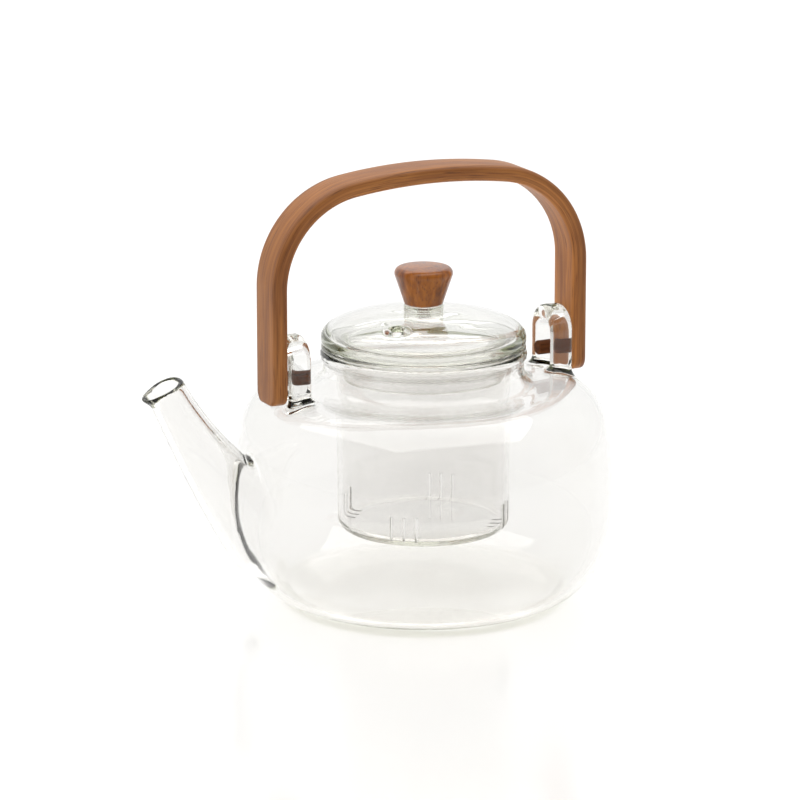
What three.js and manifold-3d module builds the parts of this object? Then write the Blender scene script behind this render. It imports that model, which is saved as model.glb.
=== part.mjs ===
// Glass teapot with a glass infuser, a domed lid and a bent-wood bail handle.
// Millimetres, +Z up. The origin is the centre of the flat base, the spout points along -X,
// and the handle stands in the X-Z plane.

import * as THREE from 'three';
import { mergeVertices } from 'three/addons/utils/BufferGeometryUtils.js';
import Module from 'manifold-3d';

const wasm = await Module();
wasm.setup();

// ---------------------------------------------------------------- driving dimensions

// Fits between pieces
const touchGap = 0.3; // between faces that touch
const swingGap = 0.4; // between an ear and the handle arm beside it

// Bowl of the pot
const bowlRadius = 72.5; // at its widest
const bowlWidestHeight = 36.2;
const baseRadius = 49; // flat foot
const baseThickness = 3;
const glassWall = 2.4;
const footRoundRun = 13; // pull of the lower curve, along the base
const footRoundRise = 18; // pull of the lower curve, down from the widest place
const flankRise = 23.5; // pull of the upper curve, up from the widest place
const shoulderRun = 10.7; // from the neck to the flat top of the shoulder
const shoulderHeight = 80.6;
const shoulderPull = 22; // pull of the upper curve, outwards along the shoulder

// Neck and its rolled lip
const neckRadius = 37.3;
const neckHeight = 12.9; // from the shoulder to the top of the lip
const neckFillet = 6.5;
const lipOverhang = 1.2;
const lipBead = 1.9; // radius of the rolled bead

// Infuser cup
const infuserSideGap = 2.7; // between the neck and the cup
const infuserDepth = 68.2; // from the lip to the underside of the cup
const infuserWall = 1.8;
const infuserFloor = 2.4;
const infuserCorner = 4;
const flangeThickness = 1.6;
const slotWidth = 1;
const slotHeight = 9.5;
const slotPitch = 4.7;
const slotsPerGroup = 3;
const slotGroups = 4;
const slotGroupTurn = 50; // degrees, of the first group

// Lid
const lidRimInset = 0.3; // rim inside the outer edge of the lip
const lidRimThickness = 3.8;
const lidRise = 9.6; // of the dome above the middle of the rim
const domeSquareness = 2.4; // exponent of the dome's superellipse
const lidGlass = 2.5;
const brimThickness = 2.3; // of the flat ring that is folded in under the dome
const brimFold = 0.6; // glass gathered in the fold, beyond the dome's own thickness
const brimEdge = 1.2;
const skirtGap = 1; // between the skirt and the inside of the infuser
const skirtWall = 2.2;
const skirtDepth = 11.7; // below the underside of the rim
const bossRadius = 7.4;
const bossHeight = 3;
const bossRidges = 2.5;
const bossRidgeDepth = 0.35;
const ventPlaceRadius = 24.4;
const ventTurn = 220; // degrees
const ventRadius = 2.5;
const ventRingWidth = 1.9;
const ventRingHeight = 0.7;

// Knob and its dowel
const knobBaseRadius = 7.3;
const knobTopRadius = 10.9;
const knobHeight = 14.4;
const knobEdge = 2.4; // rounding of the upper edge
const knobFootEdge = 0.8;
const dowelRadius = 2.5;
const dowelInLid = 3.4;
const dowelInKnob = 7;
const dowelGrooves = 7;
const dowelGrooveDepth = 0.25;

// Ears
const earStandoff = 6.25; // from the edge of the shoulder's top to the middle of the ear
const earWidth = 8.5; // along the handle plane
const earHalfSpan = 9.5;
const earLeg = 4.8;
const earCrown = 5.6;
const earPolish = 1.9; // rounding of all edges
const earAbovePeg = 16.4;

// Pegs
const pegRadius = 2.7;
const pegInsideEar = 2.2; // past the ear's inner face
const pegInArm = 3.3;
const pegEdge = 0.6;

// Handle
const handleWidth = 16.6;
const handleThickness = 6;
const handleEdge = 2; // rounding along the edges
const handleEndRound = 5; // corners of the free ends
const handleFootClear = 1.5; // between the arm's end and the shoulder
const pegAboveArmEnd = 8.8;
const handleRise = 74.8; // from the pegs to the top
const handleCorner = 36; // radius of the bend, on the middle line
const handleCrown = 210; // radius of the top, on the middle line

// Spout
const spoutRootHeight = 40.5;
const spoutRootAngle = 46; // degrees above the horizontal
const spoutTipAngle = 64;
const spoutReach = 32.8; // of the tip past the widest part of the bowl
const spoutTipBelowLip = 2.5;
const spoutRootRadius = 18;
const spoutTipRadius = 7.3;
const spoutTaper = 1.6; // exponent of the taper
const spoutWall = 2.2;
const spoutRootInside = 12; // start of the tube inside the bowl, before it is trimmed
const spoutLipLength = 5;
const spoutLipCurl = 3.4;

// Fineness of the curved surfaces
const bowlSides = 44;
const smallSides = 20;
const curveSteps = 8;
const roundSteps = 3;

// ---------------------------------------------------------------- derived sizes and places

const shoulderRadius = neckRadius + shoulderRun;
const lipTop = shoulderHeight + neckHeight;
const neckInnerRadius = neckRadius - glassWall;
const lipRadius = neckRadius + lipOverhang;

const infuserRadius = neckInnerRadius - infuserSideGap;
const infuserInnerRadius = infuserRadius - infuserWall;
const infuserBottom = lipTop - infuserDepth;
const flangeBottom = lipTop + touchGap;
const flangeTop = flangeBottom + flangeThickness;

const lidRimRadius = lipRadius - lidRimInset;
const lidSeat = flangeTop + touchGap;
const lidRimMiddle = lidSeat + lidRimThickness / 2;
const skirtRadius = infuserInnerRadius - skirtGap;
const skirtBottom = lidSeat - skirtDepth;
const bossTop = lidRimMiddle + lidRise + bossHeight;
const socketRadius = dowelRadius + touchGap;

const knobBottom = bossTop + touchGap;
const knobTop = knobBottom + knobHeight;

const earMiddle = shoulderRadius + earStandoff;
const earInnerFace = earMiddle - earWidth / 2;
const earOuterFace = earMiddle + earWidth / 2;
const armInnerFace = earOuterFace + swingGap;
const armMiddle = armInnerFace + handleThickness / 2;

// ---------------------------------------------------------------- small helpers

const radians = THREE.MathUtils.degToRad;
const point = (r, z) => new THREE.Vector2(r, z);

function arc(centre, radius, from, to, steps = roundSteps) {
  const points = [];
  for (let i = 0; i <= steps; i += 1) {
    const angle = radians(from + ((to - from) * i) / steps);
    points.push(point(centre.x + radius * Math.cos(angle), centre.y + radius * Math.sin(angle)));
  }
  return points;
}

function bezier(start, pullStart, pullEnd, end, steps = curveSteps) {
  return new THREE.CubicBezierCurve(start, pullStart, pullEnd, end).getPoints(steps);
}

// A turned piece about +Z from a profile of (radius, height).
function turned(profile, sides = bowlSides) {
  return new THREE.LatheGeometry(profile, sides).rotateX(Math.PI / 2);
}

// A flat outline pushed along +Z with rounded edges, centred on z = 0.
function slab(shape, thickness, edge, steps = roundSteps) {
  const settings = {
    depth: thickness - 2 * edge,
    bevelEnabled: edge > 0,
    bevelThickness: edge,
    bevelSize: edge,
    bevelOffset: -edge,
    bevelSegments: steps,
    steps: 1,
    curveSegments: curveSteps,
  };
  return new THREE.ExtrudeGeometry(shape, settings).translate(0, 0, edge - thickness / 2);
}

function toSolid(geometry) {
  const bare = geometry.clone();
  bare.deleteAttribute('normal');
  bare.deleteAttribute('uv');
  const merged = mergeVertices(bare, 1e-5);
  const triVerts = [];
  const index = merged.index.array;
  for (let i = 0; i < index.length; i += 3) {
    const [a, b, c] = [index[i], index[i + 1], index[i + 2]];
    if (a !== b && b !== c && c !== a) triVerts.push(a, b, c);
  }
  const mesh = new wasm.Mesh({
    numProp: 3,
    vertProperties: new Float32Array(merged.attributes.position.array),
    triVerts: new Uint32Array(triVerts),
  });
  mesh.merge();
  return new wasm.Manifold(mesh);
}

function toGeometry(solid) {
  const mesh = solid.getMesh();
  const geometry = new THREE.BufferGeometry();
  geometry.setAttribute('position', new THREE.BufferAttribute(mesh.vertProperties, 3));
  geometry.setIndex(new THREE.BufferAttribute(mesh.triVerts, 1));
  geometry.computeVertexNormals();
  return geometry;
}

// ---------------------------------------------------------------- bowl outline

// The outside of the pot, from the edge of the base up to the foot of the lip.
function bowlOutline() {
  const widest = point(bowlRadius, bowlWidestHeight);
  const lower = bezier(
    point(baseRadius, 0),
    point(baseRadius + footRoundRun, 0),
    point(bowlRadius, bowlWidestHeight - footRoundRise),
    widest,
  );
  const upper = bezier(
    widest,
    point(bowlRadius, bowlWidestHeight + flankRise),
    point(shoulderRadius + shoulderPull, shoulderHeight),
    point(shoulderRadius, shoulderHeight),
  );
  const filletCentre = point(neckRadius + neckFillet, shoulderHeight + neckFillet);
  const fillet = arc(filletCentre, neckFillet, 270, 180);
  return [...lower, ...upper.slice(1), ...fillet];
}

// The outline moved along its own normal: outwards for a positive distance.
function offsetOutline(outline, distance) {
  return outline.map((here, i) => {
    const before = outline[Math.max(i - 1, 0)];
    const after = outline[Math.min(i + 1, outline.length - 1)];
    const along = after.clone().sub(before).normalize();
    return point(here.x + along.y * distance, here.y - along.x * distance);
  });
}

const outline = bowlOutline();

// Height of the outside of the shoulder at a distance from the axis.
function shoulderHeightAt(radius) {
  for (let i = outline.length - 1; i > 0; i -= 1) {
    const inner = outline[i];
    const outer = outline[i - 1];
    if (inner.x <= radius && outer.x >= radius) {
      const share = (radius - inner.x) / (outer.x - inner.x || 1);
      return inner.y + share * (outer.y - inner.y);
    }
  }
  return bowlWidestHeight;
}

// Everything inside the bowl's outer surface, grown by a gap: trims what stands on the glass.
function bowlTrimmer(gap) {
  const grown = offsetOutline(outline, gap).filter((p) => p.y > 0);
  return toSolid(turned([point(0, -gap), point(baseRadius, -gap), ...grown, point(0, lipTop)]));
}

const armEnd = shoulderHeightAt(armInnerFace) + handleFootClear;
const pegHeight = armEnd + pegAboveArmEnd;
const earTop = pegHeight + earAbovePeg;
const handleTop = pegHeight + handleRise;

// ---------------------------------------------------------------- spout path

function spoutAxis() {
  const rootDirection = point(-Math.cos(radians(spoutRootAngle)), Math.sin(radians(spoutRootAngle)));
  const tipDirection = point(-Math.cos(radians(spoutTipAngle)), Math.sin(radians(spoutTipAngle)));
  const start = point(-bowlRadius, spoutRootHeight).addScaledVector(rootDirection, -spoutRootInside);
  const tip = point(-bowlRadius - spoutReach, lipTop - spoutTipBelowLip);
  const span = tip.clone().sub(start);
  const turn = rootDirection.x * tipDirection.y - rootDirection.y * tipDirection.x;
  const pull = (span.x * tipDirection.y - span.y * tipDirection.x) / turn;
  const bend = start.clone().addScaledVector(rootDirection, pull);
  const inPlane = (p) => new THREE.Vector3(p.x, 0, p.y);
  return new THREE.QuadraticBezierCurve3(inPlane(start), inPlane(bend), inPlane(tip));
}

const spoutCurve = spoutAxis();
const spoutLength = spoutCurve.getLength();

// Outer radius of the tube at a share of its length.
function spoutRadiusAt(share) {
  const left = 1 - THREE.MathUtils.clamp(share, 0, 1);
  return spoutTipRadius + (spoutRootRadius - spoutTipRadius) * left ** spoutTaper;
}

// Bends a turned form, whose height is the distance along the spout, onto the spout's axis.
function bendOnSpout(geometry) {
  const position = geometry.attributes.position;
  const sideways = new THREE.Vector3(0, 1, 0);
  for (let i = 0; i < position.count; i += 1) {
    const along = position.getZ(i);
    const share = THREE.MathUtils.clamp(along / spoutLength, 0, 1);
    const tangent = spoutCurve.getTangentAt(share);
    const under = new THREE.Vector3().crossVectors(tangent, sideways).normalize();
    const lower = -position.getX(i);
    const nearMouth = Math.max(0, (along - (spoutLength - spoutLipLength)) / spoutLipLength);
    const curl = spoutLipCurl * nearMouth ** 2 * Math.max(0, lower / spoutTipRadius) ** 3;
    const place = spoutCurve.getPointAt(share);
    place.addScaledVector(tangent, along - share * spoutLength);
    place.addScaledVector(under, lower + curl);
    place.addScaledVector(sideways, position.getY(i));
    position.setXYZ(i, place.x, place.y, place.z);
  }
  return geometry;
}

// ---------------------------------------------------------------- pieces

function potBody() {
  const beadCentre = point(lipRadius - lipBead, lipTop - lipBead);
  const bead = arc(beadCentre, lipBead, -40, 130, 5);
  const inner = offsetOutline(outline, -glassWall)
    .filter((p) => p.x < neckRadius + neckFillet || p.y > baseThickness)
    .map((p) => point(Math.max(p.x, neckInnerRadius), Math.max(p.y, baseThickness)))
    .reverse();
  const floorEdge = point(baseRadius, baseThickness);
  const profile = [point(0, 0), ...outline, ...bead, ...inner, floorEdge, point(0, baseThickness)];
  const bore = spoutHole();
  return toGeometry(toSolid(turned(profile)).subtract(bore));
}

// The oval hole in the flank under the spout's foot, as high and wide as the spout's bore.
function spoutHole() {
  const bore = spoutRadiusAt(spoutRootInside / spoutLength) - spoutWall;
  const halfHeight = bore / Math.cos(Math.PI / 2 - radians(spoutRootAngle));
  const shape = new THREE.Shape().absellipse(0, 0, halfHeight - touchGap, bore - touchGap, 0, 2 * Math.PI);
  const depth = 2 * (spoutRootInside + glassWall);
  const plug = slab(shape, depth, 0).rotateY(Math.PI / 2);
  return toSolid(plug.translate(-bowlRadius, 0, spoutRootHeight));
}

function spout() {
  const outer = [];
  const inner = [];
  for (let i = 0; i <= curveSteps; i += 1) {
    const share = i / curveSteps;
    const radius = spoutRadiusAt(share);
    outer.push(point(radius, share * spoutLength));
    inner.push(point(radius - spoutWall, share * spoutLength));
  }
  const rimCentre = point(spoutTipRadius - spoutWall / 2, spoutLength);
  const rim = arc(rimCentre, spoutWall / 2, 0, 180).slice(1, -1);
  const profile = [...outer, ...rim, ...inner.reverse(), outer[0]];
  const tube = toSolid(bendOnSpout(turned(profile, smallSides + 8)));
  return toGeometry(tube.subtract(bowlTrimmer(touchGap)));
}

// A thick arch: two legs joined by a round crown, open below, trimmed to the shoulder.
function ear() {
  const legBottom = shoulderHeightAt(earOuterFace) - earHalfSpan;
  const gateHalf = earHalfSpan - earLeg;
  const crownCentre = earTop - earHalfSpan;
  const gateCentre = earTop - earCrown - gateHalf;
  const shape = new THREE.Shape([
    ...arc(point(0, crownCentre), earHalfSpan, 0, 180, 2 * roundSteps + 4),
    point(-earHalfSpan, legBottom),
    point(-gateHalf, legBottom),
    ...arc(point(0, gateCentre), gateHalf, 180, 0, 2 * roundSteps),
    point(gateHalf, legBottom),
    point(earHalfSpan, legBottom),
  ]);
  const arch = slab(shape, earWidth, earPolish).rotateX(Math.PI / 2).rotateZ(Math.PI / 2);
  const placed = toSolid(arch.translate(earMiddle, 0, 0));
  return toGeometry(placed.subtract(bowlTrimmer(touchGap)));
}

function infuser() {
  const cornerCentre = point(infuserRadius - infuserCorner, infuserBottom + infuserCorner);
  const innerCorner = infuserCorner - infuserWall;
  const flangeEdge = point(lipRadius - lidRimInset - flangeThickness / 2, flangeBottom + flangeThickness / 2);
  const floorTop = infuserBottom + infuserFloor;
  const innerCentre = point(infuserInnerRadius - innerCorner, floorTop + innerCorner);
  const profile = [
    point(0, infuserBottom),
    ...arc(cornerCentre, infuserCorner, 270, 360),
    point(infuserRadius, flangeBottom - flangeThickness),
    point(infuserRadius + flangeThickness, flangeBottom),
    ...arc(flangeEdge, flangeThickness / 2, 270, 450),
    point(infuserInnerRadius + infuserWall, flangeTop),
    point(infuserInnerRadius, flangeTop - infuserWall),
    ...arc(innerCentre, innerCorner, 360, 270),
    point(0, floorTop),
  ];
  const cup = toSolid(turned(profile));
  return toGeometry(cup.subtract(wasm.Manifold.union(slots())));
}

// Groups of upright slots around the foot of the infuser.
function slots() {
  const bottom = infuserBottom + infuserCorner / 2;
  const cutters = [];
  for (let group = 0; group < slotGroups; group += 1) {
    const turn = radians(slotGroupTurn + (360 * group) / slotGroups);
    for (let i = 0; i < slotsPerGroup; i += 1) {
      const across = (i - (slotsPerGroup - 1) / 2) * slotPitch;
      const cutter = new THREE.BoxGeometry(3 * infuserCorner, slotWidth, slotHeight);
      cutter.translate(infuserRadius - infuserWall / 2, across, bottom + slotHeight / 2);
      cutters.push(toSolid(cutter.rotateZ(turn)));
    }
  }
  return cutters;
}

// Height of the dome above the middle of the rim, at a share of its radius.
function domeHeight(share, rise) {
  return rise * Math.max(0, 1 - share ** domeSquareness) ** (1 / domeSquareness);
}

function domeProfile(radius, rise, fromRadius, toRadius, steps) {
  const points = [];
  for (let i = 0; i <= steps; i += 1) {
    const swing = i / steps;
    const r = fromRadius + (toRadius - fromRadius) * Math.sin((swing * Math.PI) / 2);
    points.push(point(r, lidRimMiddle + domeHeight(r / radius, rise)));
  }
  return points;
}

function bossProfile() {
  const bottom = bossTop - bossHeight;
  const steps = 4 * bossRidges; // four straight steps to each ridge
  const points = [];
  for (let i = 0; i <= steps; i += 1) {
    const share = i / steps;
    const ridge = bossRidgeDepth * Math.cos(share * bossRidges * 2 * Math.PI);
    points.push(point(bossRadius - bossRidgeDepth + ridge, bossTop - share * (bossTop - bottom)));
  }
  return points;
}

function lid() {
  const skirtInner = skirtRadius - skirtWall;
  const underRadius = lidRimRadius - lidGlass;
  const hollowRadius = underRadius - brimFold;
  const brimTop = lidSeat + brimThickness;
  const rimCentre = point(lidRimRadius - lidRimThickness / 2, lidRimMiddle);
  const profile = [
    point(0, bossTop - dowelInLid - touchGap),
    point(socketRadius, bossTop - dowelInLid - touchGap),
    point(socketRadius, bossTop),
    ...bossProfile(),
    ...domeProfile(lidRimRadius, lidRise, bossRadius + bossRidgeDepth, lidRimRadius, curveSteps),
    ...arc(rimCentre, lidRimThickness / 2, 0, -90).slice(1),
    point(skirtRadius + brimEdge, lidSeat),
    point(skirtRadius, lidSeat - brimEdge),
    ...arc(point(skirtRadius - skirtWall / 2, skirtBottom), skirtWall / 2, 0, -180),
    point(skirtInner, brimTop - brimEdge),
    point(skirtInner + brimEdge, brimTop),
    point(hollowRadius, brimTop),
    ...domeProfile(underRadius, lidRise - lidGlass, 0, hollowRadius, curveSteps).reverse(),
  ];
  const dome = toSolid(turned(profile.reverse()));
  const ventFloor = lidRimMiddle + domeHeight(ventPlaceRadius / lidRimRadius, lidRise);
  const ring = ventCylinder(ventRadius + ventRingWidth, ventFloor - lidGlass / 2, ventFloor + ventRingHeight);
  const hole = ventCylinder(ventRadius, skirtBottom, bossTop);
  return toGeometry(dome.add(ring).subtract(hole));
}

function ventCylinder(radius, bottom, top) {
  const cylinder = new THREE.CylinderGeometry(radius, radius, top - bottom, smallSides);
  cylinder.rotateX(Math.PI / 2);
  cylinder.translate(ventPlaceRadius, 0, (top + bottom) / 2);
  return toSolid(cylinder.rotateZ(radians(ventTurn)));
}

function knob() {
  const socketTop = knobBottom + dowelInKnob + touchGap;
  const edgeCentre = point(knobTopRadius - knobEdge, knobTop - knobEdge);
  const footCentre = point(knobBaseRadius - knobFootEdge, knobBottom + knobFootEdge);
  const profile = [
    point(0, socketTop),
    point(socketRadius, socketTop),
    point(socketRadius, knobBottom),
    ...arc(footCentre, knobFootEdge, 270, 345),
    ...arc(edgeCentre, knobEdge, -15, 90, 5),
    point(0, knobTop),
  ];
  return turned(profile, smallSides);
}

// A dowel with rings cut round it to hold the glue.
function knobDowel() {
  const bottom = bossTop - dowelInLid;
  const top = knobBottom + dowelInKnob;
  const pitch = (top - bottom) / dowelGrooves;
  const profile = [point(0, bottom)];
  for (let i = 0; i < dowelGrooves; i += 1) {
    profile.push(point(dowelRadius - dowelGrooveDepth, bottom + i * pitch));
    profile.push(point(dowelRadius, bottom + (i + 0.5) * pitch));
  }
  profile.push(point(dowelRadius - dowelGrooveDepth, top), point(0, top));
  return turned(profile, smallSides);
}

// The bail's side outline: two straight arms, two bends and a slightly crowned top.
function bailPath(offset) {
  const bendX = armMiddle - handleCorner;
  const crownZ = handleTop - handleThickness / 2 - handleCrown;
  const drop = Math.sqrt((handleCrown - handleCorner) ** 2 - bendX ** 2);
  const bendZ = crownZ + drop;
  const lean = THREE.MathUtils.radToDeg(Math.atan2(drop, bendX));
  const bend = arc(point(bendX, bendZ), handleCorner + offset, 0, lean, curveSteps);
  const crown = arc(point(0, crownZ), handleCrown + offset, lean, 180 - lean, curveSteps);
  const right = [point(armMiddle + offset, armEnd - handleEndRound), ...bend];
  const left = right.map((p) => point(-p.x, p.y)).reverse();
  return [...right, ...crown.slice(1, -1), ...left];
}

function handle() {
  const half = handleThickness / 2;
  const shape = new THREE.Shape([...bailPath(half), ...bailPath(-half).reverse()]);
  const bail = toSolid(slab(shape, handleWidth, handleEdge).rotateX(Math.PI / 2));
  const trimmed = bail.intersect(handleEndTrimmer());
  const sockets = [-1, 1].map((side) => {
    const depth = pegInArm + touchGap;
    const socket = new THREE.CylinderGeometry(pegRadius + touchGap, pegRadius + touchGap, 2 * depth, smallSides);
    return toSolid(socket.rotateZ(Math.PI / 2).translate(side * armInnerFace, 0, pegHeight));
  });
  return toGeometry(trimmed.subtract(wasm.Manifold.union(sockets)));
}

// The handle's face outline seen along X, with its two lower corners rounded.
function handleEndTrimmer() {
  const half = handleWidth / 2;
  const corner = half - handleEndRound;
  const cornerZ = armEnd + handleEndRound;
  const shape = new THREE.Shape([
    ...arc(point(-corner, cornerZ), handleEndRound, 180, 270),
    ...arc(point(corner, cornerZ), handleEndRound, 270, 360),
    point(half, handleTop + half),
    point(-half, handleTop + half),
  ]);
  const block = slab(shape, 3 * armMiddle, 0);
  return toSolid(block.rotateX(Math.PI / 2).rotateZ(Math.PI / 2));
}

// A peg along +X, from inside the ear's arch into the blind socket of the arm.
function peg() {
  const inner = earInnerFace - pegInsideEar;
  const outer = armInnerFace + pegInArm;
  const profile = [
    point(0, inner),
    ...arc(point(pegRadius - pegEdge, inner + pegEdge), pegEdge, 270, 360, 3),
    ...arc(point(pegRadius - pegEdge, outer - pegEdge), pegEdge, 0, 90, 3),
    point(0, outer),
  ];
  return turned(profile, smallSides).rotateY(Math.PI / 2);
}

// ---------------------------------------------------------------- finishes

function clearGlass() {
  return new THREE.MeshStandardMaterial({
    color: 0xe9ece6, roughness: 0.03, metalness: 0, transparent: true, opacity: 0.35,
  });
}

function bentWood() {
  return new THREE.MeshStandardMaterial({ color: 0x9a5f3c, roughness: 0.5, metalness: 0 });
}

function turnedWood() {
  return new THREE.MeshStandardMaterial({ color: 0xa4682f, roughness: 0.45, metalness: 0 });
}

function pegWood() {
  return new THREE.MeshStandardMaterial({ color: 0xb07a4c, roughness: 0.6, metalness: 0 });
}

// ---------------------------------------------------------------- assembly

function piece(name, geometry, material) {
  const mesh = new THREE.Mesh(geometry, material);
  mesh.name = name;
  return mesh;
}

const teapot = new THREE.Group();

const pot = new THREE.Group();
const earFront = piece('ear_front', ear(), clearGlass());
earFront.rotation.z = Math.PI;
pot.add(piece('pot_body', potBody(), clearGlass()));
pot.add(piece('spout', spout(), clearGlass()));
pot.add(earFront, piece('ear_rear', ear(), clearGlass()));

const cover = new THREE.Group();
cover.add(piece('lid', lid(), clearGlass()));
cover.add(piece('knob', knob(), turnedWood()));
cover.add(piece('knob_dowel', knobDowel(), pegWood()));

const bail = new THREE.Group();
const pegFront = piece('peg_front', peg(), pegWood());
const pegRear = piece('peg_rear', peg(), pegWood());
pegFront.position.z = pegHeight;
pegFront.rotation.z = Math.PI;
pegRear.position.z = pegHeight;
bail.add(piece('handle', handle(), bentWood()), pegFront, pegRear);

teapot.add(pot, piece('infuser', infuser(), clearGlass()), cover, bail);

export default teapot;
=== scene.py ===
# %% [markdown]
# A clear glass teapot with a glass infuser, a domed lid and a bent-wood bail. The packed
# CAD model is the frame: it says where every piece is and how it moves. Each cell
# below makes one piece or one finish in its final quality and lets it ride on its CAD body.

# %% Load the frame
import math

import bmesh
import bpy
import numpy as np
from mathutils import Matrix, Vector


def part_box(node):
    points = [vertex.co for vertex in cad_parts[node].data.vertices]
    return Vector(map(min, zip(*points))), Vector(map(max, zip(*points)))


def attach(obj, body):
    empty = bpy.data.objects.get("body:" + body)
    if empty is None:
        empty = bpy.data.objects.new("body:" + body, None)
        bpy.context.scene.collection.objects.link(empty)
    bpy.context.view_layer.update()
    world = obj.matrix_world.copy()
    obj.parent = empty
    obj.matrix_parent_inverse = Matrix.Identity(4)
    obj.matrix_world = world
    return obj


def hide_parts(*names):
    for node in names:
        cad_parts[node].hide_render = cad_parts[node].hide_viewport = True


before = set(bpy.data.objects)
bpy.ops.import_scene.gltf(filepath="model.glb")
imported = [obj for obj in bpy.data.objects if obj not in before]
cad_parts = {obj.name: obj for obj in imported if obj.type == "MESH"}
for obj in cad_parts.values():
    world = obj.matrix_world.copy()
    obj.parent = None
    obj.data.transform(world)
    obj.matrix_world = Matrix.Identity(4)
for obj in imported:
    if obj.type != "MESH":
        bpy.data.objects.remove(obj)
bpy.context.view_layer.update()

# %% [markdown]
# Everything is worked out in millimetres, because that is how a glass blower and a wood
# turner measure, and becomes metres when a mesh is made. The places come from the
# CAD boxes, so that a piece can't drift away from the part it stands for.

# %% Read the places from the frame
MM = 0.001


def put_in_scene(name, data):
    thing = bpy.data.objects.new(name, data)
    bpy.context.collection.objects.link(thing)
    return thing


def box_mm(node):
    low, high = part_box(node)
    return Vector(low) / MM, Vector(high) / MM


pot_low, pot_high = box_mm("pot_body")
spout_low, spout_high = box_mm("spout")
ear_low, ear_high = box_mm("ear_rear")
infuser_low, infuser_high = box_mm("infuser")
lid_low, lid_high = box_mm("lid")
knob_low, knob_high = box_mm("knob")
dowel_low, dowel_high = box_mm("knob_dowel")
handle_low, handle_high = box_mm("handle")
peg_low, peg_high = box_mm("peg_rear")
peg_z = (peg_low.z + peg_high.z) / 2
print("pegs at height", round(peg_z, 2), "mm")

# %% [markdown]
# The camera comes first. A long lens from about a metre and a half away keeps the sides
# of the pot nearly parallel. Its rotation is written as three axes, because that says
# plainly where it points: right, up and back.

# %% Camera
AZIMUTH = math.radians(-26.6)
ELEVATION = math.radians(14.7)
DISTANCE = 1.614
AIM_RIGHT = -0.00875
AIM_HEIGHT = 0.07354
LENS_MM = 195.0

right = Vector((math.cos(AZIMUTH), math.sin(AZIMUTH), 0))
back = Vector((
    math.sin(AZIMUTH) * math.cos(ELEVATION),
    -math.cos(AZIMUTH) * math.cos(ELEVATION),
    math.sin(ELEVATION),
))
up = back.cross(right)
eye = right * AIM_RIGHT + Vector((0, 0, AIM_HEIGHT)) + back * DISTANCE

camera_data = bpy.data.cameras.new("camera")
camera_data.lens = LENS_MM
camera_data.sensor_width = 36
camera_data.clip_end = 50
camera = put_in_scene("camera", camera_data)
camera.matrix_world = Matrix.Translation(eye) @ Matrix((right, up, back)).transposed().to_4x4()
bpy.context.scene.camera = camera
print("camera at", [round(v, 3) for v in eye])

# %% [markdown]
# Clear glass shows nothing of itself: it shows what stands round it. So the studio matters
# more than the lamps. The floor and the wall behind are white, which makes the glass light.
# The sides of the room are a warm pale grey, and it darkens towards the viewer. That is what the
# glass mirrors, so it reads as a thin warm grey against the white.

# %% White wall behind, dimmer room in front
WALL_WHITE = (1.0, 1.0, 1.0, 1)
ROOM_WARM = (0.72, 0.69, 0.645, 1)
ROOM_FRONT = (0.22, 0.20, 0.18, 1)
WALL_DIRECTION = (-0.15, 1.0, 0.0)
ROOM_FRONT_EDGE = 0.03
ROOM_EDGE_LOW = 0.30
ROOM_EDGE_HIGH = 0.56


def new_node(tree, kind, place=(0, 0), **settings):
    node = tree.nodes.new(kind)
    node.location = place
    for key, value in settings.items():
        setattr(node, key, value)
    return node


def wire(tree, source, output, target, socket):
    tree.links.new(source.outputs[output], target.inputs[socket])


def set_inputs(node, values):
    for name, value in values.items():
        node.inputs[name].default_value = value


def make_world():
    world = bpy.data.worlds.new("white wall and dim room")
    world.use_nodes = True
    tree = world.node_tree
    tree.nodes.clear()
    where = new_node(tree, "ShaderNodeTexCoord", (-800, 0))
    toward = new_node(tree, "ShaderNodeVectorMath", (-600, 0), operation="DOT_PRODUCT")
    toward.inputs[1].default_value = Vector(WALL_DIRECTION).normalized()
    half = new_node(tree, "ShaderNodeMath", (-400, 0), operation="MULTIPLY_ADD")
    set_inputs(half, {1: 0.5, 2: 0.5})
    ramp = new_node(tree, "ShaderNodeValToRGB", (-200, 0))
    shade = new_node(tree, "ShaderNodeBackground", (100, 0))
    out = new_node(tree, "ShaderNodeOutputWorld", (300, 0))
    stops = ramp.color_ramp.elements
    stops[0].position = ROOM_EDGE_LOW
    stops[0].color = ROOM_WARM
    stops[1].position = ROOM_EDGE_HIGH
    stops[1].color = WALL_WHITE
    stops.new(ROOM_FRONT_EDGE).color = ROOM_FRONT
    ramp.color_ramp.interpolation = "EASE"
    wire(tree, where, "Generated", toward, 0)
    wire(tree, toward, "Value", half, 0)
    wire(tree, half, 0, ramp, "Fac")
    wire(tree, ramp, "Color", shade, "Color")
    wire(tree, shade, 0, out, "Surface")
    bpy.context.scene.world = world


make_world()
bpy.context.scene.view_settings.view_transform = "Standard"
print("surround ready")

# %% [markdown]
# Light runs back and forth inside thick glass many times before it comes out. If it is given
# up too early the rims and ears go black, so it may bounce more often than usual.

# %% Bounces for thick glass
cycles = bpy.context.scene.cycles
cycles.max_bounces = 48
cycles.glossy_bounces = 48
cycles.transmission_bounces = 48
cycles.transparent_max_bounces = 32
print("up to", cycles.max_bounces, "bounces")

# %% [markdown]
# One very large soft box overhead does the rest. It has to be large and high, so that the
# floor is evenly white all the way back and no lamp shape shows in the glass.

# %% Soft box overhead
OVERHEAD_WATTS = 50.0
OVERHEAD_SIZE = 3.2
OVERHEAD_PLACE = (0.15, 0.3, 2.2)


soft_box = bpy.data.lights.new("overhead", "AREA")
soft_box.shape = "SQUARE"
soft_box.size = OVERHEAD_SIZE
soft_box.energy = OVERHEAD_WATTS
put_in_scene("overhead", soft_box).location = OVERHEAD_PLACE
print("soft box hung")

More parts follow.
